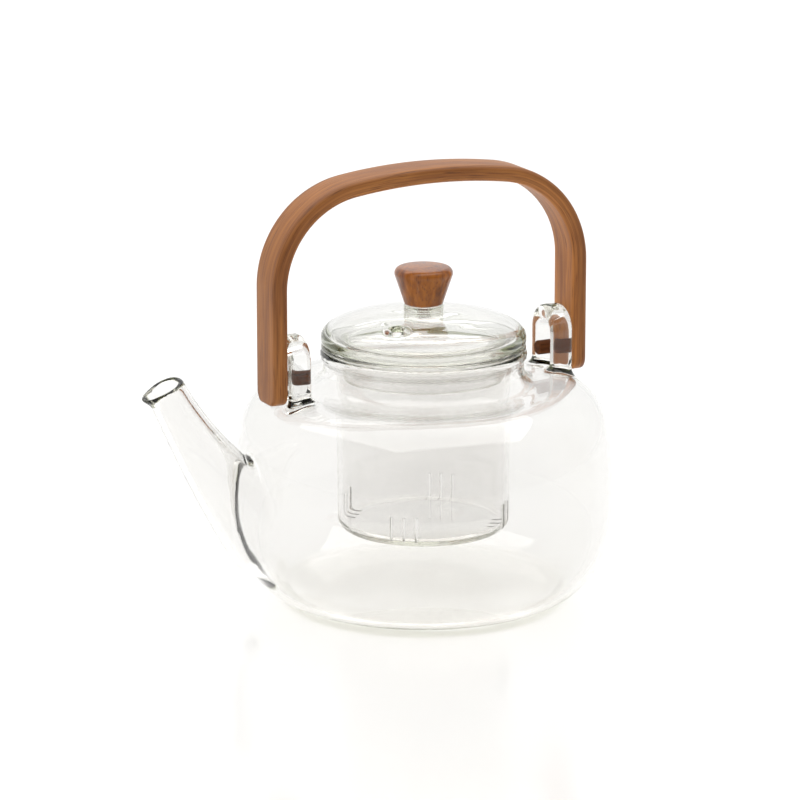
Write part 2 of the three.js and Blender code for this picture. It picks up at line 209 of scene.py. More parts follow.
# %% [markdown]
# The floor is a sheet of white acrylic. It is one big square, and a little gloss gives the soft mirror
# image under it.

# %% Floor
FLOOR_SIZE = 6.0
FLOOR_HEIGHT = -0.0002  # a hair under the pot, so that the two faces don't fight
FLOOR_COLOUR = (0.95, 0.95, 0.95, 1)
FLOOR_ROUGHNESS = 0.2
FLOOR_IOR = 1.9
FLOOR_MIRROR = 0.4


def new_material(name):
    material = bpy.data.materials.new(name)
    material.use_nodes = True
    return material, material.node_tree, material.node_tree.nodes["Principled BSDF"]


def make_floor():
    mesh = bpy.data.meshes.new("floor")
    half = FLOOR_SIZE / 2
    corners = [(-half, -half), (half, -half), (half, half), (-half, half)]
    mesh.from_pydata([(x, y, FLOOR_HEIGHT) for x, y in corners], [], [(0, 1, 2, 3)])
    floor = put_in_scene("floor", mesh)
    material, _, shader = new_material("white acrylic")
    set_inputs(shader, {
        "Base Color": FLOOR_COLOUR,
        "Roughness": FLOOR_ROUGHNESS,
        "IOR": FLOOR_IOR,
        "Metallic": FLOOR_MIRROR,
    })
    mesh.materials.append(material)


make_floor()
print("floor", FLOOR_SIZE, "m square")

# %% [markdown]
# Flame-worked glass has no hard corners: where a spout or an ear is welded on, the glass
# runs together in a soft fillet. Cutting and joining meshes would leave creases there, so the
# pot is described as a field of distances to its skin, where two shapes are joined
# by a smooth minimum, and a mesh is then laid on the place where the field is zero.

# %% Tools for fields of distance
TABLE_STEP = 0.2  # of the tables that hold the distance to a turned outline


def smooth_union(a, b, blend):
    share = np.clip(0.5 + 0.5 * (b - a) / blend, 0, 1)
    return b + (a - b) * share - blend * share * (1 - share)


def smooth_overlap(a, b, blend):
    """The part that two shapes have in common, with its edge rounded."""
    return -smooth_union(-a, -b, blend)


def distance_to_outline(outline, r, z):
    """Signed distance from points to a closed outline, negative inside it."""
    best = np.full(r.shape, 1e9)
    crossings = np.zeros(r.shape, dtype=int)
    for (r0, z0), (r1, z1) in zip(outline, outline[1:] + outline[:1]):
        dr, dz = r1 - r0, z1 - z0
        length = dr * dr + dz * dz
        if length < 1e-12:
            continue
        share = np.clip(((r - r0) * dr + (z - z0) * dz) / length, 0, 1)
        best = np.minimum(best, np.hypot(r - r0 - share * dr, z - z0 - share * dz))
        if dz:
            crossings += ((z0 <= z) != (z1 <= z)) & (r < r0 + (z - z0) * dr / dz)
    return np.where(crossings % 2 == 1, -best, best)


def turned_field(outline, reach, low, high):
    """The distance to a turned solid, as a function of place, read from a fine table."""
    mirrored = outline + [(-r, z) for r, z in reversed(outline)]
    rs = np.arange(-2 * TABLE_STEP, reach, TABLE_STEP)
    zs = np.arange(low, high, TABLE_STEP)
    table = distance_to_outline(mirrored, *np.meshgrid(rs, zs, indexing="ij"))

    def field(x, y, z):
        u = np.clip((np.hypot(x, y) - rs[0]) / TABLE_STEP, 0, len(rs) - 1.001)
        v = np.clip((z - zs[0]) / TABLE_STEP, 0, len(zs) - 1.001)
        i, j = u.astype(int), v.astype(int)
        u, v = u - i, v - j
        low_row = table[i, j] * (1 - v) + table[i, j + 1] * v
        high_row = table[i + 1, j] * (1 - v) + table[i + 1, j + 1] * v
        return low_row * (1 - u) + high_row * u

    return field


print("field tables every", TABLE_STEP, "mm")

# %% [markdown]
# The mesh is laid with surface nets: every grid cell that the skin passes through
# gets one point, and every grid edge that pierces the skin gets one four-sided face. The
# points are then slid onto the exact skin and evened out, which leaves neat, smooth faces.

# %% Lay a mesh on a field
SLOPE_STEP = 0.05
RELAX_ROUNDS = 4


def slope(field, points):
    parts = []
    for axis in range(3):
        shift = np.zeros(3)
        shift[axis] = SLOPE_STEP
        ahead, behind = points + shift, points - shift
        parts.append((field(*ahead.T) - field(*behind.T)) / (2 * SLOPE_STEP))
    return np.stack(parts, 1)


def slide_to_skin(field, points, rounds):
    for _ in range(rounds):
        ramp = slope(field, points)
        steepness = np.maximum((ramp ** 2).sum(1), 0.05)
        points = points - ramp * (field(*points.T) / steepness)[:, None]
    return points


def net_points(values, grids, inside):
    """One point for each mixed cell: the mean of the places where its edges pierce the skin."""
    shape = tuple(n - 1 for n in values.shape)
    total = np.zeros(shape + (3,))
    count = np.zeros(shape)
    for axis in range(3):
        first = [slice(None)] * 3
        last = [slice(None)] * 3
        first[axis], last[axis] = slice(None, -1), slice(1, None)
        first, last = tuple(first), tuple(last)
        edge = np.argwhere(inside[first] != inside[last])
        a = values[first][tuple(edge.T)]
        b = values[last][tuple(edge.T)]
        place = np.stack([grids[k][edge[:, k]] for k in range(3)], 1).astype(float)
        step = grids[axis][edge[:, axis] + 1] - grids[axis][edge[:, axis]]
        place[:, axis] += step * a / (a - b)
        others = [k for k in range(3) if k != axis]
        for di in (0, 1):
            for dj in (0, 1):
                cell = edge.copy()
                cell[:, others[0]] -= di
                cell[:, others[1]] -= dj
                np.add.at(total, tuple(cell.T), place)
                np.add.at(count, tuple(cell.T), 1)
    mixed = np.argwhere(count > 0)
    number = np.full(shape, -1)
    number[tuple(mixed.T)] = np.arange(len(mixed))
    points = total[tuple(mixed.T)] / count[tuple(mixed.T)][:, None]
    return points, number


def net_faces(number, inside):
    faces = []
    for axis in range(3):
        first = [slice(None)] * 3
        last = [slice(None)] * 3
        first[axis], last[axis] = slice(None, -1), slice(1, None)
        edge = np.argwhere(inside[tuple(first)] != inside[tuple(last)])
        starts_inside = inside[tuple(edge.T)]
        u, v = (axis + 1) % 3, (axis + 2) % 3
        ring = []
        for du, dv in ((1, 1), (0, 1), (0, 0), (1, 0)):
            cell = edge.copy()
            cell[:, u] -= du
            cell[:, v] -= dv
            ring.append(number[tuple(cell.T)])
        quads = np.stack(ring, 1)
        quads[~starts_inside] = quads[~starts_inside][:, ::-1]
        faces.append(quads)
    return np.vstack(faces)


def relax(points, faces):
    """Moves each point halfway to the mean of its neighbours along the faces' edges."""
    total = np.zeros_like(points)
    count = np.zeros(len(points))
    for k in range(4):
        for here, there in ((faces[:, k], faces[:, k - 1]), (faces[:, k - 1], faces[:, k])):
            np.add.at(total, here, points[there])
            np.add.at(count, here, 1)
    return points + 0.5 * (total / count[:, None] - points)


def mesh_from_field(name, field, grids):
    values = field(*np.meshgrid(*grids, indexing="ij"))
    inside = values < 0
    points, number = net_points(values, grids, inside)
    faces = net_faces(number, inside)
    points = slide_to_skin(field, points, 4)
    for _ in range(RELAX_ROUNDS):
        points = slide_to_skin(field, relax(points, faces), 2)
    mesh = bpy.data.meshes.new(name)
    mesh.from_pydata((points * MM).tolist(), [], faces.tolist())
    mesh.validate()
    mesh.shade_smooth()
    print(name, len(points), "points", 2 * len(faces), "triangles")
    return put_in_scene(name, mesh)


def grid(*stretches):
    """Grid lines from stretches of (start, end, step), each start being the last end."""
    lines = []
    for start, end, step in stretches:
        count = max(1, round((end - start) / step))
        lines.extend(start + (end - start) * i / count for i in range(count))
    return np.array(lines + [stretches[-1][1]])


print("nets ready,", RELAX_ROUNDS, "rounds of relaxing")

# %% [markdown]
# The bowl is drawn as a potter would draw it: half of its outline, turned about
# the axis. Two smooth curves meet at the widest place, the upper one runs out over the flat
# shoulder, and a fillet leads up into the short neck.

# %% Outline of the bowl
GLASS_WALL = 2.4
BASE_RADIUS = 49.0
BASE_THICKNESS = 3.0
WIDEST_HEIGHT = 36.2
SHOULDER_RADIUS = 48.0
SHOULDER_HEIGHT = 80.6
NECK_RADIUS = 37.3
NECK_FILLET = 6.5
LIP_BEAD = 1.9
LIP_OVERHANG = 1.2
ABOVE_LIP = 8.0
TABLE_REACH = (130, -5, 120)  # radius, lowest and highest height
OUTLINE_STEPS = 110
# how far each end of the two side curves is pulled along its tangent
BASE_PULL = 13.0
LOWER_PULL = 18.0
UPPER_PULL = 23.5
SHOULDER_PULL = 22.0


def arc(centre, radius, start, end, steps=12):
    angles = [math.radians(start + (end - start) * i / steps) for i in range(steps + 1)]
    return [(centre[0] + radius * math.cos(a), centre[1] + radius * math.sin(a)) for a in angles]


def bezier(a, b, c, d, steps=OUTLINE_STEPS):
    points = []
    for i in range(steps + 1):
        t = i / steps
        weights = ((1 - t) ** 3, 3 * t * (1 - t) ** 2, 3 * t * t * (1 - t), t ** 3)
        points.append(tuple(sum(w * p[k] for w, p in zip(weights, (a, b, c, d))) for k in (0, 1)))
    return points


def bowl_outline():
    """The outside, from the edge of the base to the top of the neck's fillet."""
    widest = (pot_high.y, WIDEST_HEIGHT)
    lower = bezier(
        (BASE_RADIUS, 0),
        (BASE_RADIUS + BASE_PULL, 0),
        (pot_high.y, WIDEST_HEIGHT - LOWER_PULL),
        widest,
    )
    upper = bezier(
        widest,
        (pot_high.y, WIDEST_HEIGHT + UPPER_PULL),
        (SHOULDER_RADIUS + SHOULDER_PULL, SHOULDER_HEIGHT),
        (SHOULDER_RADIUS, SHOULDER_HEIGHT),
    )
    centre = (NECK_RADIUS + NECK_FILLET, SHOULDER_HEIGHT + NECK_FILLET)
    return lower + upper[1:] + arc(centre, NECK_FILLET, 270, 180)


def moved_inwards(outline, distance):
    moved = []
    for i, (r, z) in enumerate(outline):
        before = outline[max(i - 1, 0)]
        after = outline[min(i + 1, len(outline) - 1)]
        dr, dz = after[0] - before[0], after[1] - before[1]
        length = math.hypot(dr, dz)
        moved.append((r - distance * dz / length, z + distance * dr / length))
    return moved


lip_top = pot_high.z
bowl_side = bowl_outline()
bead_middle = (NECK_RADIUS + LIP_OVERHANG - LIP_BEAD, lip_top - LIP_BEAD)
bowl_outside = [(0, 0)] + bowl_side + [(NECK_RADIUS, bead_middle[1]), (0, bead_middle[1])]
hollow_side = [
    (max(r, NECK_RADIUS - GLASS_WALL), max(z, BASE_THICKNESS))
    for r, z in moved_inwards(bowl_side, GLASS_WALL)
]
bowl_inside = [(0, BASE_THICKNESS)] + hollow_side + [
    (NECK_RADIUS - GLASS_WALL, lip_top + ABOVE_LIP),
    (0, lip_top + ABOVE_LIP),
]
outside_field = turned_field(bowl_outside, *TABLE_REACH)
inside_field = turned_field(bowl_inside, *TABLE_REACH)
print("bowl", round(2 * pot_high.y), "mm wide, lip at", round(lip_top, 1), "mm")

# %% [markdown]
# The spout is a drawn tube: wide and round at the root, narrow at the mouth, its axis
# bending up a little. Its field is the distance to that axis less the radius
# there, and the first point of the axis lies inside the bowl, so the root is a round bulb that
# sinks into it. At the mouth the lower edge curls out into a pouring lip.

# %% Field of the spout
SPOUT_ROOT_HEIGHT = 40.5
SPOUT_ROOT_ANGLE = math.radians(46)
SPOUT_TIP_ANGLE = math.radians(64)
SPOUT_REACH = 32.8
SPOUT_TIP_BELOW_LIP = 2.5
SPOUT_ROOT_INSIDE = 12.0
SPOUT_ROOT_RADIUS = 18.0
SPOUT_TIP_RADIUS = 7.3
SPOUT_TAPER = 1.6
SPOUT_WALL = 2.2
SPOUT_LIP_LENGTH = 6.0
SPOUT_LIP_CURL = 3.2
AXIS_STEPS = 160


def spout_axis():
    root = np.array([-math.cos(SPOUT_ROOT_ANGLE), math.sin(SPOUT_ROOT_ANGLE)])
    lead = np.array([-math.cos(SPOUT_TIP_ANGLE), math.sin(SPOUT_TIP_ANGLE)])
    start = np.array([-pot_high.y, SPOUT_ROOT_HEIGHT]) - SPOUT_ROOT_INSIDE * root
    tip = np.array([-pot_high.y - SPOUT_REACH, lip_top - SPOUT_TIP_BELOW_LIP])
    span = tip - start
    pull = (span[0] * lead[1] - span[1] * lead[0]) / (root[0] * lead[1] - root[1] * lead[0])
    bend = start + pull * root
    t = np.linspace(0, 1, AXIS_STEPS + 1)[:, None]
    return (1 - t) ** 2 * start + 2 * t * (1 - t) * bend + t * t * tip


axis_points = spout_axis()
axis_parts = np.hypot(*np.diff(axis_points, axis=0).T)
axis_length = axis_parts.sum()
axis_along = np.concatenate([[0], np.cumsum(axis_parts)])
print("spout axis", round(axis_length, 1), "mm long")


def along_spout(x, y, z):
    """Distance along the axis, distance from it, and how far below it a place is."""
    near = np.full(x.shape, 1e9)
    along = np.zeros(x.shape)
    below = np.zeros(x.shape)
    for i in range(AXIS_STEPS):
        ax, az = axis_points[i]
        dx, dz = (axis_points[i + 1] - axis_points[i]) / axis_parts[i]
        s = (x - ax) * dx + (z - az) * dz
        last = np.inf if i == AXIS_STEPS - 1 else axis_parts[i]
        s = np.clip(s, 0, last)
        lower = -(x - ax - s * dx) * dz + (z - az - s * dz) * dx
        far = np.hypot(x - ax - s * dx, z - az - s * dz)
        closer = far < near
        near = np.where(closer, far, near)
        along = np.where(closer, axis_along[i] + s, along)
        below = np.where(closer, lower, below)
    return along, np.hypot(near, y), below


def spout_radius(along, below, away):
    left = np.clip(1 - along / axis_length, 0, 1)
    radius = SPOUT_TIP_RADIUS + (SPOUT_ROOT_RADIUS - SPOUT_TIP_RADIUS) * left ** SPOUT_TAPER
    mouth = np.clip((along - axis_length + SPOUT_LIP_LENGTH) / SPOUT_LIP_LENGTH, 0, 1.3)
    toward = np.clip(below / np.maximum(away, 1e-6), 0, 1)
    return radius + SPOUT_LIP_CURL * mouth ** 2 * toward ** 4


# %% [markdown]
# Each ear is a thick strap of glass bent into an arch and pressed on the hot shoulder.
# Its section is a box with very round edges, swept along two legs and a half circle.

# %% Field of the ears
EAR_LEG = 4.8
EAR_CROWN = 5.6
EAR_ROUND = 2.1
EAR_SINK = 12.0  # how far the legs reach down into the bowl's wall

ear_middle = (ear_low.x + ear_high.x) / 2
ear_half_width = (ear_high.x - ear_low.x) / 2
ear_half_span = ear_high.y
ear_path_radius = ear_half_span - EAR_LEG / 2
ear_turn_height = ear_high.z - ear_path_radius - EAR_CROWN / 2


def ear_field(x, y, z):
    above = np.maximum(z - ear_turn_height, 0)
    from_path = np.abs(np.hypot(y, above) - ear_path_radius)
    crown = np.clip(above / ear_path_radius, 0, 1)
    half_thick = EAR_LEG / 2 + (EAR_CROWN - EAR_LEG) / 2 * crown
    a = from_path - half_thick + EAR_ROUND
    b = np.abs(np.abs(x) - ear_middle) - ear_half_width + EAR_ROUND
    box = np.hypot(np.maximum(a, 0), np.maximum(b, 0)) + np.minimum(np.maximum(a, b), 0)
    return np.maximum(box - EAR_ROUND, SHOULDER_HEIGHT - EAR_SINK - z)


# %% [markdown]
# Now the whole pot, as a glass blower would think of it: an outer skin in which
# bowl, ears and spout have melted together, and an inner skin, the hollow that holds the tea.
# Each is laid as a mesh of its own, because a solid shape is easier to lay a mesh on than a thin
# wall, and then the hollow is cut out of the solid.

# %% Outer skin of the pot
EAR_WELD = 3.2
SPOUT_WELD = 4.5
BEAD_WELD = 0.8
MOUTH_ROUND = 1.2
SPOUT_SIDE = -45.0
FAR_FROM_SPOUT = 30.0


def near_spout(x, y):
    return (x < SPOUT_SIDE) & (np.abs(y) < FAR_FROM_SPOUT)


def outer_skin(x, y, z):
    solid = smooth_union(outside_field(x, y, z), ear_field(x, y, z), EAR_WELD)
    near = near_spout(x, y)
    if near.any():
        along, away, below = along_spout(x[near], y[near], z[near])
        tube = away - spout_radius(along, below, away)
        tube = smooth_overlap(tube, along - axis_length, 2 * MOUTH_ROUND)
        solid[near] = smooth_union(solid[near], tube, SPOUT_WELD)
    bead = np.hypot(np.hypot(x, y) - bead_middle[0], z - bead_middle[1]) - LIP_BEAD
    return smooth_union(solid, bead, BEAD_WELD)


outer_grids = (
    grid((-120, -96, 0.85), (-96, 76, 1.45)),
    grid((-76, -20, 1.5), (-20, 20, 1.1), (20, 76, 1.5)),
    grid((-2, 8, 1.2), (8, 62, 1.7), (62, 108, 1.1)),
)
pot = mesh_from_field("pot", outer_skin, outer_grids)

# %% [markdown]
# The hollow is one shape too: the inside of the bowl joined to the bore of the spout. A ball of
# air at the mouth opens the bore with a round edge, and a wide blend where bore
# and bowl meet gives the soft crease of two pieces of glass that were melted together.

# %% Hollow of the pot
SPOUT_CREASE = 7.0
MOUTH_BALL = 16.0
PASSAGE_END = 8.0  # before the mouth, where the ball of air takes over
MOUTH_CUT = 0.05


def hollow_skin(x, y, z):
    hollow = inside_field(x, y, z)
    near = near_spout(x, y)
    if near.any():
        along, away, below = along_spout(x[near], y[near], z[near])
        tube = away - spout_radius(along, below, away) + SPOUT_WALL
        mouth = smooth_union(tube, axis_length - MOUTH_CUT - along, 2 * MOUTH_ROUND)
        mouth = np.maximum(mouth, np.hypot(away, along - axis_length) - MOUTH_BALL)
        passage = np.maximum(tube, along - axis_length + PASSAGE_END)
        bore = np.minimum(mouth, passage)
        hollow[near] = smooth_union(hollow[near], bore, SPOUT_CREASE)
    return hollow


hollow_grids = (
    grid((-124, -96, 0.85), (-96, 74, 1.5)),
    grid((-74, -20, 1.5), (-20, 20, 1.1), (20, 74, 1.5)),
    grid((0, 8, 1.2), (8, 62, 1.7), (62, 112, 1.3)),
)
hollow = mesh_from_field("hollow", hollow_skin, hollow_grids)

# %% [markdown]
# The cut is a boolean. Its result is checked at once: every edge of a sound solid belongs
# to exactly two faces.

# %% Cut the hollow out
def cut_away(piece, cutter):
    modifier = piece.modifiers.new("cut", "BOOLEAN")
    modifier.operation = "DIFFERENCE"
    modifier.solver = "EXACT"
    modifier.object = cutter
    seen = piece.evaluated_get(bpy.context.evaluated_depsgraph_get())
    mesh = bpy.data.meshes.new_from_object(seen)
    piece.modifiers.remove(modifier)
    piece.data = mesh
    bpy.data.objects.remove(cutter)


def sharpen_edges(piece, degrees):
    piece.data.set_sharp_from_angle(angle=math.radians(degrees))


def open_edges(piece):
    shape = bmesh.new()
    shape.from_mesh(piece.data)
    count = sum(1 for edge in shape.edges if not edge.is_manifold)
    shape.free()
    return count


cut_away(pot, hollow)
pot.data.shade_smooth()
sharpen_edges(pot, 50)
print("pot:", len(pot.data.polygons), "faces,", open_edges(pot), "open edges")

# %% [markdown]
# Clear glass needs three things to look real: the right bending of light, a faint colour
# where it is thick, and a hand-made waviness. The colour is absorption inside the
# glass, so thin walls stay clear and edges go olive. The waviness is one shader group that
# every glass uses with its own values.

# %% Glass
SHADOW_TINT = (1.0, 0.998, 0.996)


def add_sockets(tree, direction, **kinds):
    """Named inputs or outputs of a group, by kind: a name or a list of names for each."""
    for kind, names in kinds.items():
        for name in [names] if isinstance(names, str) else names:
            tree.interface.new_socket(name=name, in_out=direction, socket_type="NodeSocket" + kind)


def make_waviness():
    tree = bpy.data.node_groups.new("glass waviness", "ShaderNodeTree")
    add_sockets(tree, "INPUT", Vector="Vector", Float="Ripples per metre")
    add_sockets(tree, "OUTPUT", Float="Height")
    given = new_node(tree, "NodeGroupInput", (-600, 0))
    slow = new_node(tree, "ShaderNodeTexNoise", (-300, 100))
    slow.inputs["Detail"].default_value = 0.5
    result = new_node(tree, "NodeGroupOutput", (0, 0))
    wire(tree, given, "Vector", slow, "Vector")
    wire(tree, given, "Ripples per metre", slow, "Scale")
    wire(tree, slow, "Fac", result, "Height")
    return tree


waviness = make_waviness()


def clear_glass(name, tint, depth_colour, density, ripples, ripple_height):
    material, tree, shader = new_material(name)
    set_inputs(shader, {
        "Base Color": (*tint, 1),
        "Roughness": 0.0,
        "IOR": 1.47,
        "Transmission Weight": 1.0,
    })
    where = new_node(tree, "ShaderNodeTexCoord", (-900, -300))
    wavy = new_node(tree, "ShaderNodeGroup", (-700, -300), node_tree=waviness)
    wavy.inputs["Ripples per metre"].default_value = ripples
    bump = new_node(tree, "ShaderNodeBump", (-400, -300))
    set_inputs(bump, {"Strength": 1.0, "Distance": ripple_height})
    absorb = new_node(tree, "ShaderNodeVolumeAbsorption", (0, -500))
    set_inputs(absorb, {"Color": (*depth_colour, 1), "Density": density})
    clear = new_node(tree, "ShaderNodeBsdfTransparent", (0, -200))
    clear.inputs["Color"].default_value = (*SHADOW_TINT, 1)
    path = new_node(tree, "ShaderNodeLightPath", (-300, 500))
    soft = new_node(tree, "ShaderNodeMath", (-50, 400), operation="MAXIMUM")
    choose = new_node(tree, "ShaderNodeMixShader", (200, 200))
    result = tree.nodes["Material Output"]
    wire(tree, where, "Object", wavy, "Vector")
    wire(tree, wavy, "Height", bump, "Height")
    wire(tree, bump, "Normal", shader, "Normal")
    wire(tree, path, "Is Shadow Ray", soft, 0)
    wire(tree, path, "Is Diffuse Ray", soft, 1)
    wire(tree, soft, 0, choose, "Fac")
    wire(tree, shader, 0, choose, 1)
    wire(tree, clear, 0, choose, 2)
    wire(tree, choose, 0, result, "Surface")
    wire(tree, absorb, 0, result, "Volume")
    return material


CLEAR_TINT = (0.940, 0.936, 0.932)
pot_glass = clear_glass("pot glass", CLEAR_TINT, (0.66, 0.67, 0.56), 20.0, 22.0, 0.00025)
infuser_glass = clear_glass("infuser glass", CLEAR_TINT, (0.72, 0.73, 0.64), 14.0, 30.0, 0.0001)
lid_glass = clear_glass("lid glass", CLEAR_TINT, (0.62, 0.66, 0.48), 20.0, 45.0, 0.0004)
pot.data.materials.append(pot_glass)
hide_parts("pot_body", "spout", "ear_front", "ear_rear")
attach(pot, "pot")

# %% [markdown]
# The infuser is a plain cup, so a turned mesh is right for it. A ring of
# points for each point of its outline gives even faces all the way round.

# %% The infuser cup
INFUSER_WALL = 1.8
INFUSER_FLOOR = 2.4
INFUSER_CORNER = 4.0
INFUSER_SIDE_GAP = 2.7
FLANGE = 1.6
CUP_FILLET = 2.0
CUP_LIP_ROUND = 1.6
CUP_SIDES = 144


def turned_mesh(name, outline, sides):
    """A turned solid from an outline that starts and ends on the axis."""
    rings = outline[1:-1]
    points = [(0, 0, outline[0][1]), (0, 0, outline[-1][1])]
    for r, z in rings:
        for k in range(sides):
            turn = 2 * math.pi * k / sides
            points.append((r * math.cos(turn), r * math.sin(turn), z))
    faces = []
    for k in range(sides):
        after = (k + 1) % sides
        faces.append((0, 2 + after, 2 + k))
        last = 2 + (len(rings) - 1) * sides
        faces.append((1, last + k, last + after))
        for i in range(len(rings) - 1):
            a, b = 2 + i * sides, 2 + (i + 1) * sides
            faces.append((a + k, a + after, b + after, b + k))
    mesh = bpy.data.meshes.new(name)
    mesh.from_pydata([Vector(p) * MM for p in points], [], faces)
    mesh.shade_smooth()
    return put_in_scene(name, mesh)


cup_radius = NECK_RADIUS - GLASS_WALL - INFUSER_SIDE_GAP
cup_inner = cup_radius - INFUSER_WALL
flange_radius = infuser_high.x


def cup_outline():
    bottom, top = infuser_low.z, infuser_high.z
    under = top - FLANGE
    corner = (cup_radius - INFUSER_CORNER, bottom + INFUSER_CORNER)
    inner_corner = INFUSER_CORNER - INFUSER_WALL
    inner = (cup_inner - inner_corner, bottom + INFUSER_FLOOR + inner_corner)
    slot_bottom = bottom + INFUSER_CORNER / 2
    wall = [slot_bottom + 2.5 + (under - slot_bottom - 6) * i / 12 for i in range(13)]
    return (
        [(0, bottom), (cup_radius * 0.5, bottom)]
        + arc(corner, INFUSER_CORNER, 270, 360, 8)
        + [(cup_radius, z) for z in wall[1:]]
        + arc((cup_radius + CUP_FILLET, under - CUP_FILLET), CUP_FILLET, 180, 90, 6)
        + arc((flange_radius - FLANGE / 2, under + FLANGE / 2), FLANGE / 2, 270, 450, 8)
        + arc((cup_inner + CUP_LIP_ROUND, top - CUP_LIP_ROUND), CUP_LIP_ROUND, 90, 180, 6)
        + [(cup_inner, z) for z in reversed(wall[1:])]
        + arc(inner, inner_corner, 360, 270, 6)
        + [(cup_inner * 0.5, bottom + INFUSER_FLOOR), (0, bottom + INFUSER_FLOOR)]
    )


cup = turned_mesh("infuser", cup_outline(), CUP_SIDES)
print("cup", round(2 * cup_radius, 1), "mm wide")

# %% [markdown]
# The slots repeat: three side by side, four times round. Geometry nodes are made for that. A
# short row of blocks is placed on one point for each group, turned step by step, and
# the blocks are cut out of the cup. Change a number and the pattern follows.

# %% Slots by geometry nodes
SLOT_WIDTH = 1.0
SLOT_HEIGHT = 9.5
SLOT_PITCH = 4.7
SLOTS_IN_GROUP = 3
SLOT_GROUPS = 4
SLOT_TURN = 50.0
SLOT_BLOCK_LENGTH = 0.012  # in metres, well through the wall


def feed(tree, sockets, values):
    """Gives each socket its number or colour, or links it to the output given for it."""
    for socket, value in zip(sockets, values):
        if isinstance(value, (int, float, tuple)):
            socket.default_value = value
        elif value is not None:
            tree.links.new(value, socket)


def math_node(tree, operation, a, b=None, place=(0, 0)):
    node = new_node(tree, "ShaderNodeMath", place, operation=operation)
    feed(tree, node.inputs, (a, b))
    return node.outputs[0]


def joined_vector(tree, x=0.0, y=0.0, z=0.0, place=(0, 0)):
    node = new_node(tree, "ShaderNodeCombineXYZ", place)
    feed(tree, node.inputs, (x, y, z))
    return node.outputs[0]


def slot_tree():
    tree = bpy.data.node_groups.new("slots round a cup", "GeometryNodeTree")
    sizes = ["Radius", "Bottom", "Width", "Height", "Pitch", "Turn"]
    counts = ["In a group", "Groups"]
    add_sockets(tree, "INPUT", Geometry="Cup", Float=sizes, Int=counts, Material="Glass")
    add_sockets(tree, "OUTPUT", Geometry="Slotted cup")
    link = tree.links.new
    given = new_node(tree, "NodeGroupInput", (-1400, 0)).outputs
    block = new_node(tree, "GeometryNodeMeshCube", (-1000, 300))
    size = joined_vector(tree, SLOT_BLOCK_LENGTH, given["Width"], given["Height"], (-1200, 300))
    link(size, block.inputs["Size"])
    half_row = math_node(tree, "MULTIPLY", math_node(tree, "SUBTRACT", given["In a group"], 1), 0.5)
    row_start = math_node(tree, "MULTIPLY", math_node(tree, "MULTIPLY", half_row, given["Pitch"]), -1)
    middle = math_node(tree, "ADD", given["Bottom"], math_node(tree, "MULTIPLY", given["Height"], 0.5))
    row = new_node(tree, "GeometryNodeMeshLine", (-1000, 0))
    link(given["In a group"], row.inputs["Count"])
    link(joined_vector(tree, given["Radius"], row_start, middle), row.inputs["Start Location"])
    link(joined_vector(tree, 0.0, given["Pitch"], 0.0), row.inputs["Offset"])
    blocks = new_node(tree, "GeometryNodeInstanceOnPoints", (-800, 100))
    wire(tree, row, "Mesh", blocks, "Points")
    wire(tree, block, "Mesh", blocks, "Instance")
    centres = new_node(tree, "GeometryNodeMeshLine", (-1000, -300))
    centres.inputs["Offset"].default_value = (0, 0, 0)
    link(given["Groups"], centres.inputs["Count"])
    index = new_node(tree, "GeometryNodeInputIndex", (-1200, -500))
    step = math_node(tree, "DIVIDE", 2 * math.pi, given["Groups"])
    turn = math_node(tree, "ADD", math_node(tree, "MULTIPLY", index.outputs[0], step), given["Turn"])
    groups = new_node(tree, "GeometryNodeInstanceOnPoints", (-600, 0))
    wire(tree, centres, "Mesh", groups, "Points")
    wire(tree, blocks, "Instances", groups, "Instance")
    link(joined_vector(tree, 0.0, 0.0, turn), groups.inputs["Rotation"])
    cutters = new_node(tree, "GeometryNodeRealizeInstances", (-400, -100))
    wire(tree, groups, "Instances", cutters, 0)
    cut = new_node(tree, "GeometryNodeMeshBoolean", (-200, 0), operation="DIFFERENCE")
    cut.solver = "EXACT"
    link(given["Cup"], cut.inputs["Mesh 1"])
    wire(tree, cutters, 0, cut, "Mesh 2")
    whole = new_node(tree, "GeometryNodeRealizeInstances", (0, 0))
    finish = new_node(tree, "GeometryNodeSetMaterial", (200, 0))
    wire(tree, cut, "Mesh", whole, 0)
    wire(tree, whole, 0, finish, "Geometry")
    link(given["Glass"], finish.inputs["Material"])
    link(finish.outputs[0], new_node(tree, "NodeGroupOutput", (400, 0)).inputs[0])
    return tree


def run_nodes(piece, tree, values):
    """Runs a geometry node tree on a piece and keeps the result as its plain mesh."""
    modifier = piece.modifiers.new(tree.name, "NODES")
    modifier.node_group = tree
    for item in tree.interface.items_tree:
        if item.item_type == "SOCKET" and item.in_out == "INPUT" and item.name in values:
            modifier[item.identifier] = values[item.name]
    seen = piece.evaluated_get(bpy.context.evaluated_depsgraph_get())
    mesh = bpy.data.meshes.new_from_object(seen)
    piece.modifiers.remove(modifier)
    if piece.type == "MESH":
        piece.data = mesh
        return piece
    plain = put_in_scene(piece.name, mesh)
    bpy.data.objects.remove(piece)
    plain.name = mesh.name
    return plain


cup = run_nodes(cup, slot_tree(), {
    "Radius": (cup_radius - INFUSER_WALL / 2) * MM,
    "Bottom": (infuser_low.z + INFUSER_CORNER / 2) * MM,
    "Width": SLOT_WIDTH * MM,
    "Height": SLOT_HEIGHT * MM,
    "Pitch": SLOT_PITCH * MM,
    "Turn": math.radians(SLOT_TURN),
    "In a group": SLOTS_IN_GROUP,
    "Groups": SLOT_GROUPS,
    "Glass": infuser_glass,
})
sharpen_edges(cup, 35)
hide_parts("infuser")
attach(cup, "infuser")
print("slotted cup", len(cup.data.polygons), "faces")

